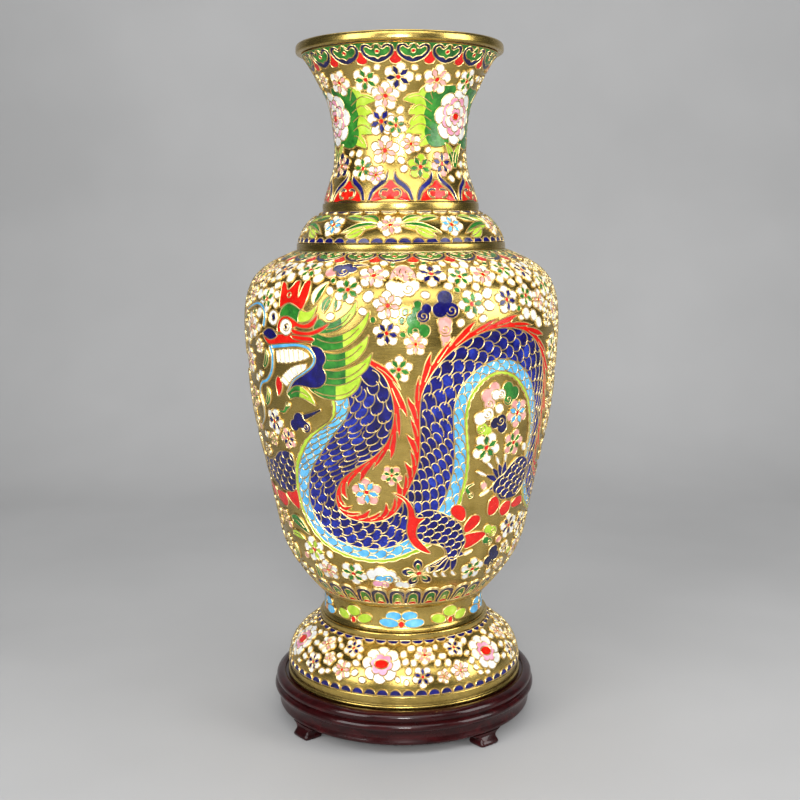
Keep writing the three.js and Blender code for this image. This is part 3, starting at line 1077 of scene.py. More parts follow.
def dragon_legs(wall):
    def blobs(outlines):
        for outline in outlines:
            wall.draw(outline, "red")

    # The foreleg that reaches down at the front
    blobs([
        [(19.5, 66), (20, 70), (23, 70.5), (25.5, 68), (26.5, 63), (25, 60), (22, 62)],
        [(26, 56), (28, 61), (30.5, 63), (33.5, 61.5), (33.5, 57.5), (30, 53.5), (27, 52.5)],
        [(26.5, 50.5), (31, 52), (36, 51.5), (38, 49), (34.5, 45.5), (30, 43), (27.3, 43)],
    ])
    claws(wall, (22.5, 40), [
        ((18, 35.4), (10.4, 33), (12.6, 28.4)), ((19.6, 34), (13.8, 28.8), (17, 25)), ((21.5, 33.4), (18, 27.8), (21.2, 24.6)),
        ((23.6, 34), (22.8, 27.8), (26, 24.8)), ((24.5, 40), (27.8, 39), (32, 41)),
    ])
    limb(wall, [
        (6, 66), (10, 68.8), (15, 67), (20, 63), (24.5, 58.5), (26, 53), (27.6, 47), (26, 42.5), (24.8, 38.5), (22.5, 36),
        (19.8, 38), (18.6, 43), (16, 46), (12, 47.5), (8, 49.5), (5, 53.5), (4, 59)], 20, 5.4)
    for shift in (0, 0.5):
        wall.line(catmull(wall.flat([(10 + shift, 48), (15.5, 46 + shift), (18.3, 41.5), (17, 37), (13, 33.5)]), step=1.2))
    wall.draw([
        (-4, 79.5), (-0.5, 78), (2.5, 74), (4.5, 69), (5.4, 64.5), (9, 64), (6.6, 60.5), (5.7, 57), (5.6, 53.5), (7, 50),
        (9.6, 46), (12, 41.8), (9, 42.6), (5, 46), (2.5, 51), (1.5, 57), (2, 64), (1.8, 70), (0.2, 75)], "red")

    # The hind leg that reaches left on the right-hand side
    blobs([
        [(37, 65), (37.6, 70.5), (40.5, 72.5), (42.8, 69.5), (43.5, 65.5), (41.5, 61.5), (38, 61)],
        [(44, 63), (47, 67.5), (51, 66.5), (51, 60.5), (46.5, 58.5)],
        [(51.5, 64), (55, 68), (60, 67.5), (61, 62.5), (55, 61.5)],
    ])
    claws(wall, (43.5, 82), [
        ((39, 82.5), (33, 87), (28.8, 89.6)), ((40, 84.5), (36, 91), (33, 94.6)), ((41, 87), (39, 93), (37.2, 97.4)),
        ((43, 88), (42.4, 94), (42.2, 98.4)), ((40, 78.5), (36, 77), (32, 74)),
    ])
    limb(wall, [
        (40, 83), (43.5, 86), (46.5, 90.5), (50, 93.8), (54, 93.6), (58, 90), (60, 83), (58.5, 75), (54.5, 69.8),
        (49, 68.8), (44, 69.6), (41.5, 72.5), (38.8, 75.5), (38, 79.5)], 200, 5.4)

    # The arm that reaches round to the left
    blobs([
        [(-47.8, 75.5), (-51, 74.5), (-56, 72), (-55, 68), (-50.5, 64), (-47.8, 64)],
        [(-57.5, 70.5), (-66, 70.5), (-67, 66), (-61, 62), (-57, 64)],
        [(-69, 71), (-75, 74), (-78, 70), (-74, 65), (-69.5, 66)],
    ])
    claws(wall, (-74, 84), [
        ((-79, 90), (-82, 97), (-86, 103)), ((-80, 88), (-86, 91), (-91.5, 95)), ((-81, 84), (-87.5, 84), (-93.5, 84)),
        ((-80, 80), (-85, 77), (-90, 73)), ((-75, 89), (-76, 94), (-75.5, 101)),
    ], 4.4)
    limb(wall, [
        (-45.8, 95), (-49, 99), (-55, 97.2), (-60, 92.5), (-66, 90), (-72, 90.5), (-78, 88.5), (-78.5, 82), (-74, 78.5),
        (-66, 76.5), (-61, 72.8), (-55, 72.8), (-50, 74), (-47.4, 79)], 180, 5.8)


def teeth(wall, gum, edge, count, gap=0.13):
    """A row of teeth with rounded corners between a gum line and a biting edge."""
    gum, edge = (catmull(wall.flat(line), step=0.6) for line in (gum, edge))
    for k in range(count):
        across = (k + np.array([0, 0.5, 1 - gap])) / count
        wall.cell(catmull(np.vstack([spaced(gum, across), spaced(edge, across)[::-1]]), True, step=0.6), "white")


def dragon_mane(wall):
    for split, outline, inner in MANE:
        lock = catmull(wall.flat(outline), True, step=1.2)
        group = wall.group()
        wall.cell(lock, "lime", group)
        wall.cell(lock[lock[:, 0] < wall.x_at(split)], "green", group)
        wall.line(catmull(wall.flat(inner), step=1.2))
    blade(wall, (-43, 132), (-38, 141), (-30.8, 128.5), 7, "green", "lime")


def dragon_face(wall):
    # Whiskers
    for whisker in (
            [(-55.5, 170), (-54.6, 176), (-56.5, 181), (-61, 182.6), (-66, 181), (-72, 178)],
            [(-51.5, 160), (-50.5, 154), (-51.5, 146), (-55, 140), (-60, 137), (-62.5, 131), (-61, 124), (-61.5, 117),
             (-66, 111)]):
        scroll(wall, whisker, 2.8, "sky")
    for turn in range(8):
        start = wall.flat([(-57, 166.5)])[0]
        out = np.array([math.cos(math.radians(140 + 12 * turn)), math.sin(math.radians(140 + 12 * turn))])
        wall.line([start + out * 1.5, start + out * 9])
    # Jaw, cheek and mouth
    wall.draw([
        (-31.5, 161.5), (-28, 161), (-26.2, 158), (-26, 154), (-27.2, 150.5), (-26.2, 147), (-26.3, 143), (-28.5, 139.3),
        (-32, 138.3), (-36, 139), (-40, 138.4), (-43.8, 134), (-41, 141), (-35.5, 146), (-31.5, 150), (-30.2, 154),
        (-30.6, 157.5)], "navy")
    wall.draw([(-47.5, 143), (-46, 139.5), (-46.5, 135), (-48.8, 131.5), (-49.8, 138), (-49, 142)], "red")
    jaw = [
        (-50.5, 159.4), (-44, 160.6), (-38, 161.6), (-33.2, 160.6), (-30.8, 157.2), (-30.4, 153.6), (-32, 149.8),
        (-35.5, 146), (-40, 141.6), (-43.6, 134.5)]
    scroll(wall, jaw, 2.6, "sky")
    teeth(wall, [(-48, 157.4), (-44, 158.5), (-40, 159.1), (-35.6, 159.1), (-32.8, 157.2)],
          [(-47.6, 151), (-43, 151.2), (-38, 152.6), (-34.4, 153.9), (-32.2, 155.4)], 7)
    teeth(wall, [(-43.6, 137.8), (-40.4, 142.4), (-36.6, 146), (-33.8, 148.8)],
          [(-46.8, 141), (-44, 145.4), (-40, 149.2), (-36.6, 151), (-33.4, 151.6)], 6)
    # Snout and nose
    wall.draw([
        (-56, 165.5), (-53, 160.9), (-50, 160.6), (-45, 161.6), (-40, 162.4), (-34, 163.2), (-31.6, 163), (-30.6, 165),
        (-34.5, 167), (-39, 168.4), (-43, 167.4), (-46.8, 166.6), (-48.4, 164.6), (-51, 163.4), (-53.5, 164)], "red")
    wall.draw([
        (-56, 166.2), (-53.6, 168.9), (-51.5, 169.7), (-49, 168.7), (-47, 166.2), (-48.6, 164.2), (-52, 163.4)], "navy")
    # Brow, crest and eyes
    wall.draw([
        (-45.5, 176.5), (-45.2, 180), (-43, 183.3), (-41, 184), (-38, 182.3), (-35.6, 180.4), (-36.5, 174.5), (-39, 175.2),
        (-42, 177)], "green")
    wall.draw([
        (-36.6, 174.4), (-36, 180.6), (-33.6, 180), (-31.4, 181), (-29.2, 184), (-30.5, 177.5), (-33, 174.6)], "lime")
    wall.draw([
        (-46, 181.5), (-47, 190), (-47.8, 196), (-45.4, 195), (-43.7, 191.6), (-42.2, 193), (-40.8, 196.8), (-38.9, 197.2),
        (-38.2, 192), (-37.6, 187.6), (-37, 192), (-36.1, 197.2), (-33.9, 197), (-33.3, 191), (-34, 185), (-35.6, 181),
        (-38, 182.6), (-41, 184.2), (-43.4, 183.4)], "red")
    wall.line(wall.put(ring_points(1.5, count=12)[list(range(12)) + [0]], -42.2, 188.6))
    for outline in (
            [(-46.4, 168), (-46.4, 173), (-44.6, 176.2), (-42, 177), (-39, 175.6), (-36.5, 173.6), (-34, 173.2), (-31.6, 174.8),
             (-28.6, 179), (-29.6, 174), (-31.6, 171.4), (-35, 170.8), (-38, 171.6), (-40, 169)],
            [(-40, 170.6), (-36, 169.4), (-32, 169.4), (-28, 171.6), (-24, 174.6), (-26.4, 170.6), (-30, 167.8), (-35, 167),
             (-39, 167.8)],
            [(-40, 167), (-35, 166.8), (-31, 166.4), (-30, 164.6), (-34, 164), (-39, 165)]):
        wall.draw(outline, "red")
    wall.cell(wall.put(ring_points(4.6, count=20), -42.4, 171), "white")
    wall.line(wall.put(spiral(3.0, 1.2, 200), -42, 171.4))
    wall.cell(wall.put(ring_points(1.3, count=10) + (-0.6, -0.2), -42, 171.4), "black")
    wall.cell(wall.put(ring_points(4.3, count=20), -49.2, 175.6), "white")
    wall.cell(wall.put(ring_points(2.0, count=12) + (0.3, 0.4), -49.2, 175.6), "black")


# ---------------------------------------------------------------- the zones' designs

WHITE_FLOWERS = [("pink", "white"), ("salmon", "white"), ("green", "white"), ("navy", "white")]

BODY_FLOWERS = [
    (-52.5, 205, 8, "navy"), (-37.5, 205.5, 8, "green"), (-10, 201.5, 8.5, "salmon"), (11, 202.5, 8.5, "navy"),
    (21.5, 200, 7.5, "green"), (31.5, 201, 8, "salmon"), (43, 205, 8, "green"), (54.5, 203, 8, "navy"),
    (-54.5, 185.5, 7.5, "green"), (-18.5, 192.5, 8, "green"), (-4.5, 184, 8, "salmon"), (24, 184, 8, "green"),
    (38.5, 185.5, 8, "navy"), (48.5, 187, 7, "green"), (56, 184, 6.5, "salmon"), (-4.8, 169.5, 7.5, "navy"),
    (4.5, 163.5, 6.5, "salmon"), (-1, 150, 7.5, "green"), (-53.5, 116, 8, "navy"), (32, 103.5, 9.2, "green"),
    (-43.5, 39, 8.5, "lime"), (-38.5, 26, 7.5, "salmon"), (-24, 26.5, 8.5, "green"), (34.5, 27, 8, "green"),
    (53, 51, 8, "navy"),
]

PINK_FLOWERS = [
    (-46.5, 107, 6.5, "navy"), (-14, 79.5, 8.5, "sky"), (-4, 90, 6, "green"), (45.2, 121.5, 8.6, "sky"),
    (45.4, 104, 8, "green"),
]


def pair_of_puffs(size):
    return [(-0.5 * size, 0, 0.5 * size), (0.45 * size, 0.2 * size, 0.55 * size)]


def body_clouds(wall):
    """The wind scrolls and little clouds between the flowers of the front."""
    cloud(wall, -27, 204, [(0, 0, 3.6), (2.5, 2.5, 3)], "salmon")
    scroll(wall, [(-22, 207), (-18, 210), (-13, 210.5)], 4, "navy")
    cloud(wall, -23, 206, [(-3, 1.6, 3), (1.4, 2.6, 3.2), (5.6, 0.2, 2.6), (1, -1.6, 3.8)], "navy")
    feather(wall, 0.4, 202.5, 8.6)
    cloud(wall, 0.6, 193, [(-6, 1.4, 3), (5.6, 1.6, 3), (-2.4, -0.6, 4), (2.8, 0, 3.8)], "white")
    cloud(wall, 5.2, 176, [(0.2, 8.5, 2), (-0.4, 5, 2.4), (-2.2, 0, 3.6), (3, -5.4, 3.4), (-1.6, -5.6, 3.8)], "green")
    cloud(wall, 7.6, 179.5, [(1, 2.6, 2.6), (-0.8, -1.2, 3.2)], "navy")
    cloud(wall, 14.4, 165, [(0, 1.6, 2.6), (0.3, -1.8, 2.2)], "salmon")
    cloud(wall, 14.2, 172.5, [(0, 2, 3.6), (0.2, -1.4, 3.3)], "salmon")
    cloud(wall, 14.6, 183, [(0, 4.6, 4), (-3.2, -1.6, 3.8), (3.3, -2, 3.8)], "navy")
    cloud(wall, -39, 117.5, [(-4.2, -1.5, 3.2), (0, 1.6, 4.2), (4.2, -1.8, 3)], "navy")
    scroll(wall, [(-37, 121), (-33, 123.5), (-29, 126.5)], 3.4, "black")
    scroll(wall, [(-44, 127), (-46.5, 123), (-49.5, 123)], 2.8, "green", 1.9)
    leaf(wall, (-30.6, 183.5), (-31, 190), (-26.4, 197), 5.6, "white", "green")
    leaf(wall, (-26.5, 179.5), (-27, 184), (-23.6, 189.5), 4.6, "green", "green")
    leaf(wall, (-22.6, 180.5), (-20.8, 184), (-22, 189), 4.4, "green", "white")
    cloud(wall, 32, 133, [(2, 4.6, 3.2), (-2.6, 0.6, 3.6), (-0.8, -4, 3.4)], "salmon")
    cloud(wall, 39.5, 133.5, [(-0.4, 3, 3.6), (4.6, 0, 3.6), (0.6, -3.2, 3.2)], "green")
    cloud(wall, 35.5, 132, [(-2.4, 1.6, 2.7), (0.6, -6.4, 2.6), (1.4, 1.8, 2.6)], "white")
    cloud(wall, 30, 117.5, [(2.4, -4.4, 2.8), (-1.2, -2.4, 3.2)], "lime")
    cloud(wall, 29.5, 121, [(-2.4, 0, 3.4), (2.6, 2.2, 3.3)], "white")
    cloud(wall, 36.5, 116.5, [(-3, 1, 3), (2.6, -2, 3.2), (1.2, 1.8, 3.6)], "black")
    cloud(wall, -9.5, 25.5, [(-6, 1.5, 3.6), (-1, 3.4, 4), (4.2, 1.6, 3.4), (7.2, -1.6, 2.4)], "white")
    cloud(wall, -9.5, 23.5, [(-1.5, 0, 3.1), (2.6, 0.6, 3)], "sky")
    cloud(wall, -10, 19.8, [(-3.4, 0, 2.6), (0.6, -0.4, 2.7)], "pink")
    cloud(wall, 0.5, 20, [(-2.6, 0, 2.4), (1, -0.8, 2.4), (4, -0.6, 1.9)], "white")
    scroll(wall, [(27.5, 75.5), (25.5, 80), (28.6, 82.5)], 2.8, "green", 2)
    cloud(wall, 40, 50, [(-1.6, 2.4, 2.6), (2.6, 0.4, 3)], "lime")
    cloud(wall, 38.5, 45.5, [(0, 0, 2.2), (3, -1.5, 2.2)], "green")
    cloud(wall, 45, 33, [(0, 4, 3.4), (3.4, 0, 3), (-2.2, -2, 3), (1.4, -5.6, 2.6)], "black")
    blade(wall, (-56, 55), (-52, 58), (-44.5, 48), 6.5, "green", "green")
    blade(wall, (-58, 46), (-54, 47), (-48.5, 43.5), 4.5, "lime", "lime")
    for number, (angle, y) in enumerate(((-55, 152), (-56, 130), (-47, 22), (-60, 33))):
        blade(wall, (angle - 2, y - 5), (angle + 2, y), (angle, y + 6), 4.4, "green", "lime" if number % 2 else "green")


def pearl(wall, angle, y):
    """A flaming pearl, which the dragon's arm reaches for on the left-hand side."""
    for k, reach in enumerate((17, 13, 20, 13, 17, 12, 15)):
        turn = math.radians(200 - 36 * k)
        tip = (angle + math.degrees(reach * math.cos(turn) / 85), y + reach * math.sin(turn))
        bend = (angle + math.degrees(0.7 * reach * math.cos(turn + 0.5) / 85), y + 0.7 * reach * math.sin(turn + 0.5))
        blade(wall, (angle, y), bend, tip, 6, "red", "red", rib=False)
    wall.cell(wall.put(ring_points(8, count=24), angle, y), "sky")
    wall.cell(wall.put(ring_points(6, count=20), angle, y), "white")
    wall.line(wall.put(spiral(4.2, 1.6), angle, y))


def decorate_body(wall):
    chance = random.Random(11)
    ruyi_band(wall, 22, -3, 13)
    lappets(wall, 19, 1, 14.2)
    body_clouds(wall)
    for angle, y, radius, inner in BODY_FLOWERS:
        flower(wall, angle, y, radius, inner, turn=chance.uniform(0, 72))
    for angle, y, radius, inner in PINK_FLOWERS:
        flower(wall, angle, y, radius, inner, "salmon", turn=chance.uniform(0, 72))
    star_flower(wall, 7.2, 28.5, 10, "green", "black", 8)
    dragon_body(wall)
    dragon_legs(wall)
    dragon_mane(wall)
    dragon_face(wall)
    pearl(wall, -106, 118)
    hues = ["navy", "green", "salmon", "sky", "lime", "white", "black"]
    for span in ((-180, -78), (66, 180)):
        scatter(wall, chance, 16, 174, [(9, any_cloud(9, hues))], 22, span)
    whites = WHITE_FLOWERS + [("sky", "salmon"), ("green", "salmon")]
    scatter(wall, chance, 16, 214, [(8.4, any_flower(8.2, whites)), (7.2, any_flower(7, whites))], 1500)
    scatter(wall, chance, 166, 215, [
        (5, any_flower(5.2, WHITE_FLOWERS)), (3.4, loose_petal(3.5, ["white"])), (2.5, loose_petal(2.6, ["white"])),
        (1.9, loose_petal(1.9, ["white", "green"]))], 4200, spare=0.1)
    scatter(wall, chance, 16, 174, [
        (4.6, any_flower(4.5, whites)), (2.6, loose_petal(2.6, ["white", "white", "white", "salmon", "lime"]))], 1200)


def peony_leaves(wall, angle, y, side):
    """A green mass beside a peony, with lime lobes that curl over and down at their tips."""
    group = wall.group()
    lobes = (
        (9, 32, 16, 38, 11), (6, 38, 10.5, 50, 8), (2, 37, 5.5, 45.5, 0), (-3, 36, 0, 45, -6), (-8, 36, -5, 48, -10.5),
        (-11, 30, -11.5, 39, -18.5))
    ribs = []
    for root, far, rise, reach, fall in lobes:
        start = (angle + side * 22, y + root)
        bend = (angle + side * far, y + rise)
        tip = (angle + side * reach, y + fall)
        blade(wall, start, bend, tip, 7.4, "lime", "lime", rib=False, group=group)
        ribs.append(catmull(wall.flat([(angle + side * 26, y + root), bend, tip]), step=1.2)[:-3])
    mass = [(6, 15), (17, 17), (28, 16.5), (33, 10), (31, 5), (32.5, 0), (30.5, -5), (31.5, -10), (26, -17), (14, -17), (5, -12)]
    wall.draw([(angle + side * x, y + up) for x, up in mass], "green", group)
    for rib in ribs:
        wall.line(rib)


def decorate_neck(wall):
    chance = random.Random(5)
    ruyi_band(wall, 17, 8, 12.4)
    lappet = [
        (3.2, 18.4), (4.8, 14.6), (8.6, 11.8), (13, 9), (15.8, 5), (16.8, 0.4), (14.8, 0.4), (12.6, 4.8), (8.6, 8), (4.6, 10.2),
        (2.5, 13), (2.1, 16.4)]
    fill = mirrored([(14.4, 0), (12.2, 4.4), (8.2, 7.4), (4, 9.6), (1.4, 12.4)][::1])
    for k in range(10):
        centre = (wrapped(-7.5 + 36 * k), 0)
        wall.draw(fill, "red", at=centre, smooth=False)
        for side in (-1, 1):
            wall.draw(np.array(lappet) * (side, 1), "navy", at=centre)
            arc = ring_points(2.5, count=16)[2:14] * (-side, 1) + (side * 3.4, 4.6)
            wall.cell(wall.put(ribbon(arc, 1.4, 0.8), centre[0], 0), "navy")
    for angle in (52, 172, -68):
        for side in (-1, 1):
            peony_leaves(wall, angle, 49, side)
        blade(wall, (angle, 20), (angle - 3, 30), (angle - 11, 34), 5, "green", "lime")
        blade(wall, (angle, 20), (angle + 3, 30), (angle + 11, 34), 5, "green", "lime")
        peony(wall, angle, 49, 15.5)
    flowers = [
        (-47, 68.5, 7.6, "salmon", "white"), (-24, 69, 8, "green", "white"), (-1, 70, 8.4, "navy", "white"),
        (26.5, 69, 8.6, "salmon", "white"), (54, 69.5, 7.6, "green", "white"), (-11, 59.5, 8.2, "salmon", "white"),
        (-15.5, 45.5, 8.4, "navy", "white"), (-3.5, 43, 6.4, "green", "white"), (-13, 29.5, 8.4, "salmon", "white"),
        (-32, 19.5, 7.4, "green", "white"), (16.5, 20, 7.6, "green", "lime"), (-58, 21.5, 7.6, "salmon", "black"),
        (37, 22, 7.6, "navy", "salmon"), (9, 33, 6, "salmon", "white"), (-20, 15.5, 6, "pink", "white"),
    ]
    for angle, y, radius, inner, outer in flowers:
        flower(wall, angle, y, radius, inner, outer, chance.uniform(0, 72))
    scatter(wall, chance, 12, 78, [(7.2, any_flower(7, WHITE_FLOWERS)), (5, any_flower(4.9, WHITE_FLOWERS))], 900)
    scatter(wall, chance, 9, 79, [(2.5, loose_petal(2.5, ["white"])), (2.0, loose_petal(2.0, ["white"]))], 1600)


def decorate_collar(wall):
    chance = random.Random(3)
    scallops(wall, 50, 2, 0, 3.1, "navy")
    scallops(wall, 30, 4, wall.length, -2.2, "navy")
    for k in range(10):
        centre = wrapped(-6 + 36 * k)
        for side in (-1, 1) if k % 2 == 0 else ():
            for root, bend, tip, upper, lower in (
                    ((15, 13.5), (22, 18.5), (29.5, 16.5), "lime", "green"), ((6, 12), (11, 18), (19, 16.5), "green", "lime"),
                    ((6, 10.5), (15, 12), (28.5, 5.5), "green", "lime"), ((14, 9), (19, 5), (25, 3.6), "lime", "lime")):
                places = [(centre + side * x, y) for x, y in (root, bend, tip)]
                leaf(wall, *places, 5.4, *((upper, lower) if side > 0 else (lower, upper)))
        flower(wall, centre, 11, 7.4, "sky" if k % 2 else "salmon", turn=chance.uniform(0, 72))
    scatter(wall, chance, 3, 21, [(1.9, loose_petal(1.9, ["white"]))], 60)


def decorate_stem(wall):
    lime = [(0, 5.6, 5.2, 3.5), (-8, 2, 5, 3), (8, 2, 5, 3)]
    sky = [(-4.6, 5, 4.8, 3), (4.8, 5.2, 4.8, 3), (-7.4, 0.8, 6, 2.8), (7.6, 0.6, 6, 2.8)]
    for k in range(10):
        centre = wrapped(-1.5 + 36 * k)
        for x, up, wide, high in lime if k % 2 else sky:
            shape = turned_by(ring_points(wide, high, 16), math.degrees(math.atan2(up, x)) if abs(x) > 5 else 0)
            wall.cell(wall.put(shape + (x, up), centre, 5), "lime" if k % 2 else "sky")
        wall.cell(wall.put(ring_points(1.9, 2.1, 12), centre, 5), "red")


def decorate_foot(wall):
    chance = random.Random(9)
    scallops(wall, 60, 2, 0, 3.5, "navy")
    scallops(wall, 46, 1, wall.length, -2.6, "navy")
    for k in range(6):
        start = -11.5 + 60 * k
        peony_at = wrapped(start)
        for petal_number in range(8):
            lobe = ring_points(3.9, 3.4, 12) + (0, 8)
            wall.cell(wall.put(lobe, peony_at, 17.8, 45 * petal_number), "white")
        group = wall.group()
        for petal_number in range(6):
            lobe = ring_points(2.7, 2.6, 12) + (0, 4.3)
            wall.cell(wall.put(lobe, peony_at, 17.8, 60 * petal_number + 20), "pink", group)
        wall.cell(wall.put(ring_points(4.2, 2.9), peony_at, 17.8), "red")
        for step, y, inner in ((20.5, 10.5, "navy"), (23, 23.5, "salmon"), (40, 11.5, "salmon"), (41.5, 26, "navy")):
            flower(wall, wrapped(start + step), y, 6.3, inner, turn=chance.uniform(0, 72))
    scatter(wall, chance, 4.2, 31.5, [
        (4.6, any_flower(4.4, WHITE_FLOWERS)), (2.4, loose_petal(2.4, ["white"])), (1.9, loose_petal(1.9, ["white"]))], 1100)


# ---------------------------------------------------------------- the metal

def shell(name, rise=0.0):
    """The raised wall of one node, lathed smooth, with an enamelled lining inside it. Its top edge may
    rise to close the seam above it."""
    outer, inner = profile_of(name)
    outer[-1, 1] += rise
    inner[-1, 1] += rise
    middle = catmull(0.4 * outer + 0.6 * inner, per=2)
    outer = catmull(outer, per=5)
    made = lathe(f"{name}_ground", np.vstack([outer, middle[::-1]]), GILT, "vase")
    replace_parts(made, name)
    within = catmull(inner, per=2)
    lathe(f"{name}_lining", np.vstack([middle, within[::-1]]), ENAMELS["lining"], "vase", turns=120)
    return outer


def turned_piece(name, bore, face, material, body, sharp=35.0):
    """A turned ring: its bore and a face of (radius, height) points from the bottom to the top."""
    face = np.asarray(face, dtype=float)
    loop = np.vstack([[(bore, face[0, 1])], face, [(bore, face[-1, 1])]])
    made = lathe(f"{name}_turned", loop, material, body, sharp)
    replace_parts(made, name)
    return made


def rounded_face(radius, bottom, top, bulge, steps=20, power=0.3):
    """A rounded face between two flat sides, flatter the lower its power is."""
    turns = np.linspace(-0.5 * math.pi, 0.5 * math.pi, steps + 1)
    middle, half = 0.5 * (bottom + top), 0.5 * (top - bottom)
    return np.stack([radius - bulge + bulge * np.cos(turns) ** power, middle + half * np.sin(turns)], axis=1)


def vase_metal():
    """Lathes every metal piece of the vase, and returns the outer lines of the decorated walls."""
    for name, bore, bulge in (
            ("stem_ring", 46.6, 1.6), ("shoulder_ring", 58.4, 1.3), ("neck_ring", 43.2, 1.2)):
        radius, bottom, top = node_size(name)
        turned_piece(name, bore, rounded_face(radius, bottom, top, bulge), GILT, "vase")

    radius, bottom, top = node_size("foot_ring")
    turned_piece("foot_ring", 67.0, catmull([
        (radius - 0.9, bottom), (radius - 0.15, bottom + 0.35), (radius, bottom + 1.1), (radius - 0.1, bottom + 2),
        (radius - 0.75, bottom + 2.6), (radius - 0.95, bottom + 3), (radius - 0.9, bottom + 5), (radius - 1, top - 0.7),
        (radius - 1.5, top)], per=4), GILT, "vase")

    radius, bottom, top = node_size("base_plate")
    plate = [(0, bottom), (0.97 * radius, bottom), (radius, bottom + 0.3), (radius, top), (0, top)]
    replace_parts(lathe("base_plate_disc", plate, GILT, "vase"), "base_plate")

    radius, bottom, top = node_size("stem_bead")
    turned_piece("stem_bead", 46.6, catmull([
        (radius - 3.4, bottom), (radius - 1.9, bottom + 0.5), (radius - 0.6, bottom + 1.5), (radius, bottom + 2.7),
        (radius - 0.1, top - 0.4), (radius - 0.5, top)], per=4), GILT, "vase")

    radius, bottom, top = node_size("mouth_rim")
    turned_piece("mouth_rim", 55.2, catmull([
        (radius - 1.3, bottom), (radius - 0.3, bottom + 0.5), (radius, bottom + 1.6), (radius - 0.1, top - 1.7),
        (radius - 0.7, top - 0.5), (radius - 2, top), (radius - 5, top - 0.1)], per=4), GILT, "vase")

    outer, inner = profile_of("stem_band")
    stem = catmull(outer, per=5)
    stem_bore = inner[0, 0]
    turned_piece("stem_band", stem_bore, stem, GILT, "vase")

    lower = shell("body_lower", SEAM)
    upper = shell("body_upper")
    return {
        "foot": shell("foot_shell"),
        "stem": stem,
        "body": np.vstack([lower[:-1], upper]),
        "collar": shell("shoulder_collar"),
        "neck": shell("neck_shell"),
    }


# ---------------------------------------------------------------- the stand

def stand_foot(name):
    """A bracket foot that follows the apron's curve: a small toe that opens in an ogee to its shoulders."""
    low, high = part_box(name)
    middle = (low + high) / 2 / MM
    heading = math.atan2(middle.y, middle.x)
    height = (high.z - low.z) / MM
    rows = [
        (0.0, 6.1, 79.6), (0.05, 6.7, 80.4), (0.2, 7.0, 80.9), (0.38, 6.6, 80.4), (0.55, 6.3, 79.4), (0.7, 6.9, 78.6),
        (0.82, 8.6, 78.2), (0.92, 10.6, 78.1), (1.0, 12.0, 78.1)]
    rows = catmull(rows, per=4)
    corner = 1.4
    sides = 28
    points = []
    for share, half, reach in rows:
        turns = np.arange(sides) * 2 * math.pi / sides
        power = 0.28
        across = half * np.sign(np.cos(turns)) * np.abs(np.cos(turns)) ** power
        depth = 0.5 * (reach - 68.5)
        out = 68.5 + depth + depth * np.sign(np.sin(turns)) * np.abs(np.sin(turns)) ** power
        angle = heading + across / out
        points.append(np.stack([out * np.cos(angle), out * np.sin(angle), np.full(sides, share * height)], axis=1))
    count = len(points)
    index = np.arange(count * sides).reshape(count, sides)
    quads = np.stack([
        index[:-1], index[1:], np.roll(index[1:], -1, axis=1), np.roll(index[:-1], -1, axis=1)], axis=-1).reshape(-1, 4)
    caps = [(index[0, 0], index[0, k], index[0, k + 1]) for k in range(1, sides - 1)]
    caps += [(index[-1, 0], index[-1, k + 1], index[-1, k]) for k in range(1, sides - 1)]
    made = make_object(f"{name}_carved", np.vstack(points), quads, caps, LACQUER, 50.0)
    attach(made, "stand")
    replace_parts(made, name)


def stand_wood():
    radius, bottom, top = node_size("stand_panel")
    panel = [(0, bottom), (radius, bottom), (radius, top - 0.3), (radius - 0.3, top), (0, top)]
    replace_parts(lathe("stand_panel_disc", panel, LACQUER, "stand"), "stand_panel")

    radius, bottom, top = node_size("stand_rim")
    face = catmull([
        (radius - 2.4, bottom), (radius - 0.9, bottom + 0.6), (radius - 0.1, bottom + 1.8), (radius - 0.05, bottom + 3),
        (radius - 0.9, bottom + 4.4), (radius - 2.2, bottom + 5.2), (radius - 1.6, bottom + 5.8), (radius - 1.1, bottom + 7),
        (radius - 1.2, bottom + 8.4), (radius - 2.2, bottom + 9.9), (radius - 4, top - 0.2), (radius - 5, top)], per=4)
    seat_radius, _, seat = node_size("stand_panel")
    rest = [
        (seat_radius + 5.6, top), (seat_radius + 5, top - 0.4), (seat_radius + 4.8, seat), (seat_radius + 0.15, seat),
        (seat_radius + 0.15, bottom + 5.4)]
    loop = np.vstack([[(62.0, bottom)], face, rest, [(62.0, bottom + 5.4)]])
    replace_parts(lathe("stand_rim_turned", loop, LACQUER, "stand"), "stand_rim")

    radius, bottom, top = node_size("stand_apron")
    turned_piece("stand_apron", 66.0, catmull([
        (radius - 1.2, bottom), (radius - 0.3, bottom + 0.4), (radius, bottom + 1.4), (radius - 0.5, bottom + 3),
        (radius - 0.95, bottom + 5), (radius - 0.5, top - 0.6), (radius - 0.3, top)], per=4), LACQUER, "stand")
    for number in range(1, 5):
        stand_foot(f"stand_foot_{number}")
        dowel = bpy.data.objects[f"foot_dowel_{number}"]
        dowel.data.materials.clear()
        dowel.data.materials.append(BARE_WOOD)


# ---------------------------------------------------------------- the studio

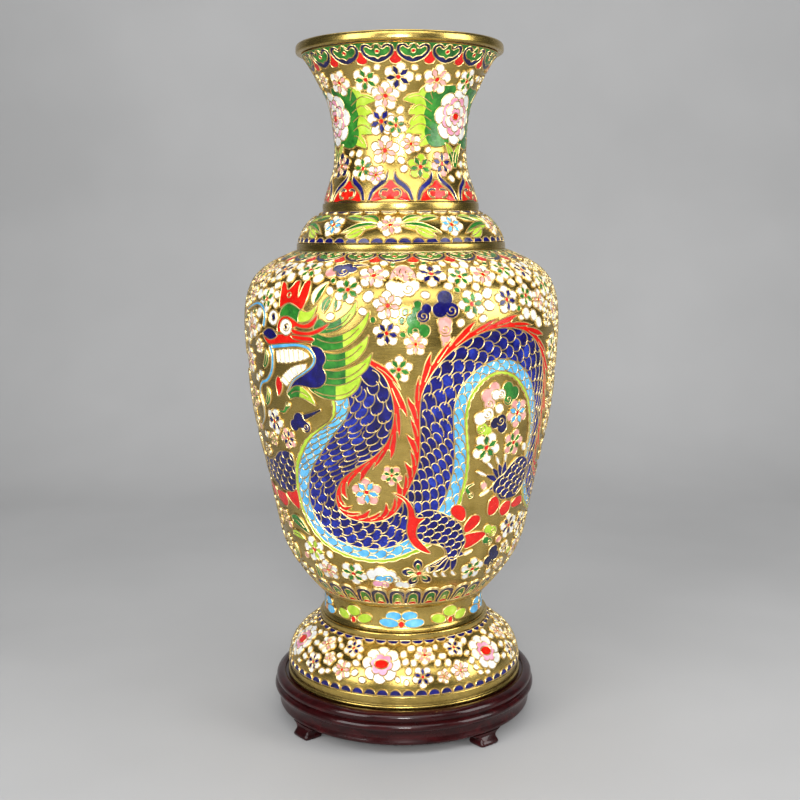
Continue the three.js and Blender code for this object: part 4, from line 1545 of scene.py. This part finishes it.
def studio():
    floor = bpy.ops.mesh.primitive_plane_add(size=1)
    floor = bpy.context.object
    floor.name = "floor"
    sweep = [(-1.3, 0.0), (0.55, 0.0)]
    curve = [(0.55 + 0.35 * math.sin(a), 0.35 - 0.35 * math.cos(a)) for a in np.linspace(0.15, 0.5 * math.pi, 14)]
    line = sweep + curve + [(0.9, 1.6)]
    points = [(x, y, z) for y, z in line for x in (-1.6, 1.6)]
    quads = [(2 * i, 2 * i + 1, 2 * i + 3, 2 * i + 2) for i in range(len(line) - 1)]
    mesh = bpy.data.meshes.new("floor")
    mesh.from_pydata(points, [], quads)
    mesh.polygons.foreach_set("use_smooth", [True] * len(quads))
    floor.data = mesh
    material, tree, shader = new_material("studio_floor")
    tone = noise(tree, object_coords(tree), 4.0)
    tree.links.new(ramp(tree, tone, [(0.3, (0.4, 0.4, 0.4)), (0.7, (0.45, 0.45, 0.45))]), shader.inputs["Base Color"])
    shader.inputs["Roughness"].default_value = 0.7
    mesh.materials.append(material)

    world = bpy.data.worlds.new("studio")
    bpy.context.scene.world = world
    world.use_nodes = True
    background = world.node_tree.nodes["Background"]
    background.inputs["Color"].default_value = (0.8, 0.84, 0.9, 1)
    background.inputs["Strength"].default_value = 0.1

    for name, place, size, power in (
            ("left_box", (-0.84, -0.84, 0.6), (0.6, 0.7), 8.5),
            ("right_box", (1.06, -0.5, 0.6), (0.6, 0.7), 8.5),
            ("front", (0.0, -0.95, 0.42), (0.16, 0.16), 5),
            ("fill", (0.05, -0.95, 1.05), (1.3, 0.45), 7),
            ("top", (0.0, 0.35, 1.5), (1.2, 0.7), 7)):
        light = bpy.data.lights.new(name, "AREA")
        light.shape = "RECTANGLE"
        light.size, light.size_y = size
        light.energy = power
        lamp = bpy.data.objects.new(name, light)
        lamp.location = place
        lamp.rotation_euler = (Vector((0, 0, 0.22)) - Vector(place)).to_track_quat("-Z", "Y").to_euler()
        bpy.context.collection.objects.link(lamp)


def camera(rim_top):
    """A level-topped portrait view from the front, a little above the middle of the vase."""
    made = bpy.data.cameras.new("camera")
    made.lens = CAMERA_LENS
    made.sensor_width = 36
    shown = bpy.data.objects.new("camera", made)
    shown.location = (0, -CAMERA_DISTANCE, rim_top - CAMERA_BELOW_RIM)
    pitch = Vector((1, 0, 0))
    from mathutils import Matrix
    turn = (
        Matrix.Rotation(math.radians(CAMERA_YAW), 4, "Z")
        @ Matrix.Rotation(math.radians(90 - CAMERA_PITCH), 4, "X")
        @ Matrix.Rotation(math.radians(-CAMERA_ROLL), 4, "Z"))
    shown.rotation_euler = turn.to_euler()
    bpy.context.collection.objects.link(shown)
    bpy.context.scene.camera = shown


# ---------------------------------------------------------------- the scene

lines = vase_metal()
DESIGNS = {
    "foot": decorate_foot,
    "stem": decorate_stem,
    "body": decorate_body,
    "collar": decorate_collar,
    "neck": decorate_neck,
}
for zone, decorate in DESIGNS.items():
    wall = Wall(zone, lines[zone])
    decorate(wall)
    wall.build("vase")
stand_wood()
studio()
camera(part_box("mouth_rim")[1].z)
bpy.context.scene.view_settings.view_transform = "Standard"
